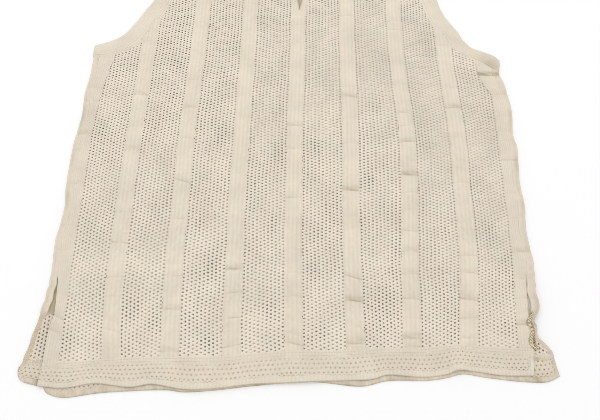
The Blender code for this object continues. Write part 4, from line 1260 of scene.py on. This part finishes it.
def strip(stations, section, closed=False):
    """A strip of cloth along its stations: free edge, seam, way over a fold, and turn.

    The turn is 0 on the front and 180 degrees on the back.
    """
    edge, seam, way = (np.array([station[k] for station in stations])[:, None] for k in (0, 1, 2))
    turn = np.radians([station[3] for station in stations])[:, None]
    share, base, front = np.array(section).T
    facing = np.clip(np.cos(turn), 0.0, 1.0)
    place = edge + share[None, :, None] * (seam - edge)
    radius = base + facing * (front + front_rise(place[..., 0], place[..., 1]))
    swing = (radius * np.sin(turn))[..., None] * way
    level = FOLD_HEIGHT + radius * np.cos(turn)
    points = np.concatenate((place + swing, level[..., None]), axis=2)
    middle = (edge + seam)[:, 0] / 2.0
    step = np.linalg.norm(np.diff(middle, axis=0), axis=1) + np.abs(np.diff(turn[:, 0])) * TURN_LENGTH
    along = np.concatenate(([0.0], np.cumsum(step)))
    wide = np.linalg.norm(seam - edge, axis=2)
    flat = np.stack((share * wide, np.broadcast_to(along[:, None], level.shape)), axis=2)
    faces = ring_faces(len(stations), len(section), closed)
    return points.reshape(-1, 3), faces, flat.reshape(-1, 2), np.zeros(level.size)


def armhole_stations(rows, outward):
    """Up the front, over the shoulder, down the back and round the underarm."""
    line = smooth(rows, 12)
    stations = flat_stations(line, 0.0)
    stations += fold_stations(line[-1], (0.0, 1.0), FOLD_TURNS)
    stations += flat_stations(line[::-1], 180.0)
    return stations + fold_stations(line[0], (outward, 0.0), FOLD_TURNS[::-1])


def add_band(name, part, node):
    """A folded band as a piece: its length is the part's own, and its normals face outside."""
    band = add_cloth(name, part, BAND_KNIT, node)
    turned = bmesh.new()
    turned.from_mesh(band.data)
    bmesh.ops.recalc_face_normals(turned, faces=turned.faces)
    turned.to_mesh(band.data)
    turned.free()


for side, rows, outward in ARMHOLES:
    part = strip(armhole_stations(rows, outward), BAND_SECTION, closed=True)
    across, height, reach, tan = UNDERARM_SHADE
    away = (part[0][:, 0] - across) ** 2 + (part[0][:, 1] - height) ** 2
    part[3][:] = tan * np.exp(-away / reach ** 2)
    add_band(f"armhole_{side}", part, f"armhole_band_{side}")


# ---------------------------------------------------------------------------
# The neck band, the facing of the slit and the shoulder seams.
# A folded strip goes round the neck, and a flat facing finishes the slit below its front.
# The shoulders are plainly joined, front to back.
# ---------------------------------------------------------------------------
NECK_STEPS = 44
FACING_WIDTH = 8.8
FACING_FOOT = 11.0
SLIT_EASE = 0.15
SLIT_OVERLAP = 0.4
FACING_ROWS = 40
FACING_SHADE = 0.6
FOOT_TURNS = (
    200.0, 215.0, 228.0, 231.2, 240.0, 255.0, 270.0, 285.0, 300.0, 308.8, 312.0, 325.0, 340.0)
FACING_SECTION = (
    (0, 0.9, 0), (0, 1.3, 0.15), (0.06, 1.32, 0.25), (0.3, 1.33, 0.3), (0.7, 1.32, 0.25),
    (0.85, 1.27, 0.15), (0.96, 1.2, 0.05), (1, 1.12, 0), (1, 1, 0), (0.5, 1, 0),
)

# The shoulder fold, from the front's seam over the line to the back's: inward, level.
SHOULDER_FOLD = (
    (7, 2.5), (6.6, 2.85), (5, 2.95), (2, 2.8), (0.7, 2.5), (0.1, 1.9), (0, 1.35),
    (0.1, 0.8), (0.7, 0.25), (2, 0.08), (7, 0.08),
)
SHOULDER_STEP = 1.7
SHOULDER_ROWS = 24
SHOULDER_END = 155.5


def neck_point(side, turn, drop, inset):
    """A point of the neckline: turn is 0 at the middle and 90 degrees at the shoulder."""
    across = NECK_MIDDLE + side * (NECK_HALF_WIDTH + inset) * math.sin(math.radians(turn))
    half = NECK_HALF_WIDTH + inset
    head = float(shoulder_height(NECK_MIDDLE + half))
    depth = drop + inset - (SHOULDER_HIGH - head)
    return across, head - depth * math.cos(math.radians(turn))


def slit_turn(side, inset):
    """The turn at which the neckline meets the slit's edge."""
    foot = SHOULDER_HIGH - FRONT_DROP - inset
    edge = SLIT_TIP[0] + side * SLIT_SPREAD * (foot - SLIT_TIP[1])
    return math.degrees(math.asin(side * (edge - NECK_MIDDLE) / (NECK_HALF_WIDTH + inset)))


def fold_turn(drop, inset):
    """The turn at which the neck band starts to fold, so that its outside ends on the shoulder."""
    head = float(shoulder_height(NECK_MIDDLE + NECK_HALF_WIDTH + inset))
    return math.degrees(math.acos(FOLD_HEIGHT / (drop + inset - (SHOULDER_HIGH - head))))


def neck_rows(side, drop, edge_start, seam_start):
    """Edge and seam of the neck band from its start out to its fold at the shoulder."""
    rows = []
    for share in np.linspace(0.0, 1.0, NECK_STEPS):
        edge_turn = edge_start + share * (fold_turn(drop, 0.0) - edge_start)
        seam_turn = seam_start + share * (fold_turn(drop, NECK_BAND) - seam_start)
        edge = neck_point(side, edge_turn, drop, 0.0)
        rows.append((*edge, *neck_point(side, seam_turn, drop, NECK_BAND)))
    return np.array(rows)


def neck_stations():
    """From one edge of the slit round the back of the neck to the other."""
    left, right = (neck_rows(side, FRONT_DROP, slit_turn(side, 0.0), slit_turn(side, NECK_BAND))
                   for side in (-1, 1))
    back_left, back_right = (neck_rows(side, BACK_DROP, 0.0, 0.0) for side in (-1, 1))
    stations = flat_stations(left, 0.0)
    stations += fold_stations(left[-1], (0.0, 1.0), FOLD_TURNS)
    stations += flat_stations(back_left[::-1], 180.0)
    stations += flat_stations(back_right[1:], 180.0)
    stations += fold_stations(right[-1], (0.0, 1.0), FOLD_TURNS[::-1])
    return stations + flat_stations(right[::-1], 0.0)


def slit_side(side, levels):
    """Edge and seam of the facing along one side of the slit."""
    rows = []
    for height in levels:
        edge = SLIT_TIP[0] + side * max(SLIT_SPREAD * (height - SLIT_TIP[1]) - SLIT_OVERLAP, SLIT_EASE)
        rows.append((edge, height, edge + side * FACING_WIDTH, height))
    return rows


def facing_stations():
    """Down the left edge of the slit, round its foot and up the right edge."""
    levels = np.linspace(SHOULDER_HIGH - FRONT_DROP - NECK_BAND, SLIT_TIP[1], FACING_ROWS)
    rows = slit_side(-1.0, levels)
    for turn in FOOT_TURNS:
        way = (math.cos(math.radians(turn)), math.sin(math.radians(turn)))
        reach = min(FACING_WIDTH / max(abs(way[0]), 0.01), FACING_FOOT / max(abs(way[1]), 0.01))
        start = (SLIT_TIP[0] + SLIT_EASE * way[0], SLIT_TIP[1] + SLIT_EASE * way[1])
        rows.append((*start, start[0] + reach * way[0], start[1] + reach * way[1]))
    return flat_stations(np.array(rows + slit_side(1.0, levels[::-1])), 0.0)


def shoulder(side):
    """Across a shoulder on the front, over its line, and back across it underneath."""
    inner = NECK_MIDDLE + side * (NECK_HALF_WIDTH + NECK_BAND - 1.0)
    line = np.linspace(inner, NECK_MIDDLE + side * SHOULDER_END, SHOULDER_ROWS)[:, None]
    inward, level = np.array(SHOULDER_FOLD).T
    height = shoulder_height(line) - 0.6 - inward
    faces = grid_faces(len(line), len(inward))
    if side < 0.0:
        faces = faces[:, ::-1]
    flat = (line, np.cumsum(np.full(len(inward), SHOULDER_STEP)))
    return grid_part((line, height, level), flat, faces, np.zeros(height.shape))


add_band("neck_edge", strip(neck_stations(), BAND_SECTION), "neck_band")

facing = strip(facing_stations(), FACING_SECTION)
# Painted shade along the facing's edge at the slit.
facing[3][:] = np.where(facing[2][:, 0] < 1.0, FACING_SHADE, 0.0)
add_band("slit_facing", facing, "neck_band")

for side, way in (("left", -1.0), ("right", 1.0)):
    add_cloth(f"shoulder_{side}", shoulder(way), BAND_KNIT, "front_panel")


# ---------------------------------------------------------------------------
# The sewing.
# A double row of stitches on each hem, a single row at the armholes and the neck.
# The raw side edges are overlocked with a yellower thread, most of all in the two vents.
# ---------------------------------------------------------------------------
SEAM_PITCH = 2.6
SEAM_STITCH = 2.0
SEAM_THREAD_WIDTH = 0.36
OVERLOCK_PITCH = 1.35
OVERLOCK_STITCH = 2.6
OVERLOCK_LEAN = math.radians(62.0)
OVERLOCK_THREAD_WIDTH = 1.0
STRAIGHT_STITCH = {"Pitch": SEAM_PITCH, "Length": SEAM_STITCH, "Width": SEAM_THREAD_WIDTH, "Lean": 0.0}
OVERLOCK_EDGE = {
    "Pitch": OVERLOCK_PITCH, "Length": OVERLOCK_STITCH, "Width": OVERLOCK_THREAD_WIDTH,
    "Lean": OVERLOCK_LEAN,
}
FINE_OVERLOCK = {**OVERLOCK_EDGE, "Width": 0.55, "Pitch": 1.9}
SIDE_STITCH = {**STRAIGHT_STITCH, "Lean": 0.5}
HEM_STITCH_SHARES = (0.88, 0.98)
HEM_STITCH_TOP = 1.42
BAND_STITCH = ((0.97, 1.3, 0.45),)
PLY_SCALE = 900.0
PLY_DEPTH = 0.0001
THREAD_ROUGHNESS = 0.75

# The right vent's overlocked edge from the slit down: across, height, level.
RIGHT_ROPE = (
    (240.9, 95, 3.3), (241.2, 89.9, 3.6), (244.3, 80.6, 4.8), (243.2, 72.8, 5), (237.4, 64.6, 4.8),
    (236, 59.8, 4.7), (238, 52.3, 4.6), (235.2, 42.2, 4.4), (237, 37.1, 3.8), (241, 36.2, 3),
)
ROPE_RETURN = (1.5, 0.0, -0.3)
ROPE_INSIDE = (0.9, 0.0, 0.7)
ROPE_BESIDE = ((3.3, 0.0, -0.9), (4.8, 0.0, -1.5))
LOW_ROPE_HEAD = 66.0

# The left vent's overlocked edge, and the stitches along both sides.
LEFT_EDGE_INSET = 1.3
LEFT_EDGE_LEVEL = 1.75
LEFT_EDGE_FOOT = 16.0
LEFT_ROW_APART = (2.4, 0.0, 0.0)
SIDE_STITCH_INSET = 3.8
SIDE_STITCH_LEVEL = 3.12
SIDE_STITCH_RISE = 0.65


def build_stitch_tree():
    """A rounded stitch at every pitch along a line, leaning across it."""
    tree, give, result = new_tree("stitch_row", "GeometryNodeTree", (
        ("Seam", "Geometry", None), ("Thread", "Material", None),
        ("Pitch", "Float", SEAM_PITCH), ("Length", "Float", SEAM_STITCH),
        ("Width", "Float", SEAM_THREAD_WIDTH), ("Lean", "Float", 0.0),
    ), ("Mesh", "Geometry"))
    bead = add_node(tree, "GeometryNodeMeshUVSphere", {"Segments": 5, "Rings": 4, "Radius": 0.5})
    line = add_node(tree, "GeometryNodeMeshToCurve", {0: give["Seam"]})
    spaced = add_node(tree, "GeometryNodeResampleCurve", {"Curve": line, "Length": give["Pitch"]},
                      mode="LENGTH")
    tangent = tree.nodes.new("GeometryNodeInputTangent")
    along = add_node(tree, "FunctionNodeAlignRotationToVector", {"Vector": tangent}, axis="X")
    lean_angle = add_node(tree, "ShaderNodeCombineXYZ", {"Z": give["Lean"]})
    lean = add_node(tree, "FunctionNodeEulerToRotation", {0: lean_angle})
    turned = add_node(tree, "FunctionNodeRotateRotation", {"Rotation": along, "Rotate By": lean},
                      rotation_space="LOCAL")
    size = add_node(tree, "ShaderNodeCombineXYZ", {
        "X": give["Length"], "Y": give["Width"], "Z": give["Width"]})
    sewn = add_node(tree, "GeometryNodeInstanceOnPoints", {
        "Points": spaced, "Instance": bead, "Rotation": turned, "Scale": size})
    realized = add_node(tree, "GeometryNodeRealizeInstances", {0: sewn})
    plug(tree, result, add_node(tree, "GeometryNodeSetMaterial", {
        "Geometry": realized, "Material": give["Thread"]}))
    return tree


def thread(name, light, dark):
    """Matt cotton thread, twisted from two plies."""
    material = bpy.data.materials.new(name)
    material.use_nodes = True
    tree = material.node_tree
    shader = tree.nodes["Principled BSDF"]
    spot = tree.nodes.new("ShaderNodeTexCoord").outputs["Object"]
    plies = add_node(tree, "ShaderNodeTexNoise", {"Vector": spot, "Scale": PLY_SCALE, "Detail": 1.0})
    colour = add_node(tree, "ShaderNodeMix", {"Factor": plies, 6: dark, 7: light}, data_type="RGBA")
    plug(tree, shader.inputs["Base Color"], colour.outputs[2])
    bump = add_node(tree, "ShaderNodeBump", {"Height": plies, "Distance": PLY_DEPTH})
    plug(tree, shader.inputs["Normal"], bump)
    shader.inputs["Roughness"].default_value = THREAD_ROUGHNESS
    return material


SEAM_THREAD = thread("seam_thread", (0.78, 0.70, 0.57, 1.0), (0.66, 0.58, 0.45, 1.0))
OVERLOCK_THREAD = thread("overlock_thread", (0.88, 0.785, 0.57, 1.0), (0.60, 0.505, 0.33, 1.0))
# A darker copy of the overlock thread: painted shade for the rows beside the right vent's rope.
SHADED_THREAD = thread("shaded_thread", (0.56, 0.465, 0.30, 1.0), (0.36, 0.285, 0.17, 1.0))
STITCH_TREE = build_stitch_tree()


def sew(name, lines, cloth, sizes, node):
    """A piece of sewing along one or more lines of points in millimetres."""
    holder = bpy.data.meshes.new(name)
    edges = []
    start = 0
    for line in lines:
        edges += [(start + k, start + k + 1) for k in range(len(line) - 1)]
        start += len(line)
    holder.from_pydata(np.vstack(lines).tolist(), edges, [])
    mesh = grow(STITCH_TREE, holder, {"Thread": cloth, **sizes})
    mesh.name = name
    places = np.empty(3 * len(mesh.vertices), dtype=np.float32)
    mesh.vertices.foreach_get("co", places)
    places = places.reshape(-1, 3) - (0.0, LAID_MIDDLE, 0.0)
    places[:, 2] = np.maximum(places[:, 2], LOWEST)
    mesh.vertices.foreach_set("co", (places * MM).astype(np.float32).ravel())
    add_piece(name, mesh, [node])


def hem_seam_line(stations, floor, lift, share):
    """A row of stitches along a hem band at a share of its depth."""
    lines = hem_lines(stations)
    across, height, rise = hem_place(lines, lines[2], np.full(len(lines[2]), share), lift)
    return np.stack((across, height, floor + HEM_STITCH_TOP + rise), axis=1)


def band_seam_line(stations):
    """A row of stitches along a band, just inside its seam."""
    points = strip(stations, BAND_STITCH)[0]
    return points[points[:, 2] > 0.02]


for side, stations, floor, lift, *_ in HEMS:
    rows = [hem_seam_line(stations, floor, lift, share) for share in HEM_STITCH_SHARES]
    sew(f"{side}_hem_stitches", rows, SEAM_THREAD, STRAIGHT_STITCH, f"{side}_hem_band")

for side, rows, outward in ARMHOLES:
    line = band_seam_line(armhole_stations(rows, outward))
    sew(f"armhole_{side}_stitches", [line], SEAM_THREAD, STRAIGHT_STITCH, f"armhole_band_{side}")

sew("neck_stitches", [band_seam_line(neck_stations())], SEAM_THREAD, STRAIGHT_STITCH, "neck_band")

rope = smooth(RIGHT_ROPE, 8)
low_rope = rope[rope[:, 1] < LOW_ROPE_HEAD]
sew("vent_rope_right", [rope, rope + ROPE_RETURN], OVERLOCK_THREAD, OVERLOCK_EDGE, "back_panel")
# Rows in the darker thread: painted shade on each side of the rope.
shaded_rows = [rope - ROPE_INSIDE, *(low_rope + beside for beside in ROPE_BESIDE)]
sew("vent_overlock_right", shaded_rows, SHADED_THREAD, OVERLOCK_EDGE, "back_panel")

rows = np.arange(LEFT_EDGE_FOOT, LEFT_TURN_FOOT + 6.0, 2.0)
across = line_at(LEFT_SIDE_LINE, rows) + LEFT_EDGE_INSET
left_edge = np.stack((across, rows, np.full(len(rows), LEFT_EDGE_LEVEL)), axis=1)
sew("vent_overlock_left", [left_edge, left_edge + LEFT_ROW_APART], OVERLOCK_THREAD, FINE_OVERLOCK,
    "back_panel")

side_rows = []
for _, line, creases, turn_foot, head, outward, _ in SIDES:
    rows = np.arange(turn_foot + 8.0, head - 22.0, 1.5)
    along, swell, _ = crease_profile(creases)
    across = line_at(line, rows) - outward * SIDE_STITCH_INSET
    level = SIDE_STITCH_LEVEL + SIDE_STITCH_RISE * np.interp(rows, along, swell)
    side_rows.append(np.stack((across, rows, level), axis=1))
sew("side_stitches", side_rows, OVERLOCK_THREAD, SIDE_STITCH, "back_panel")
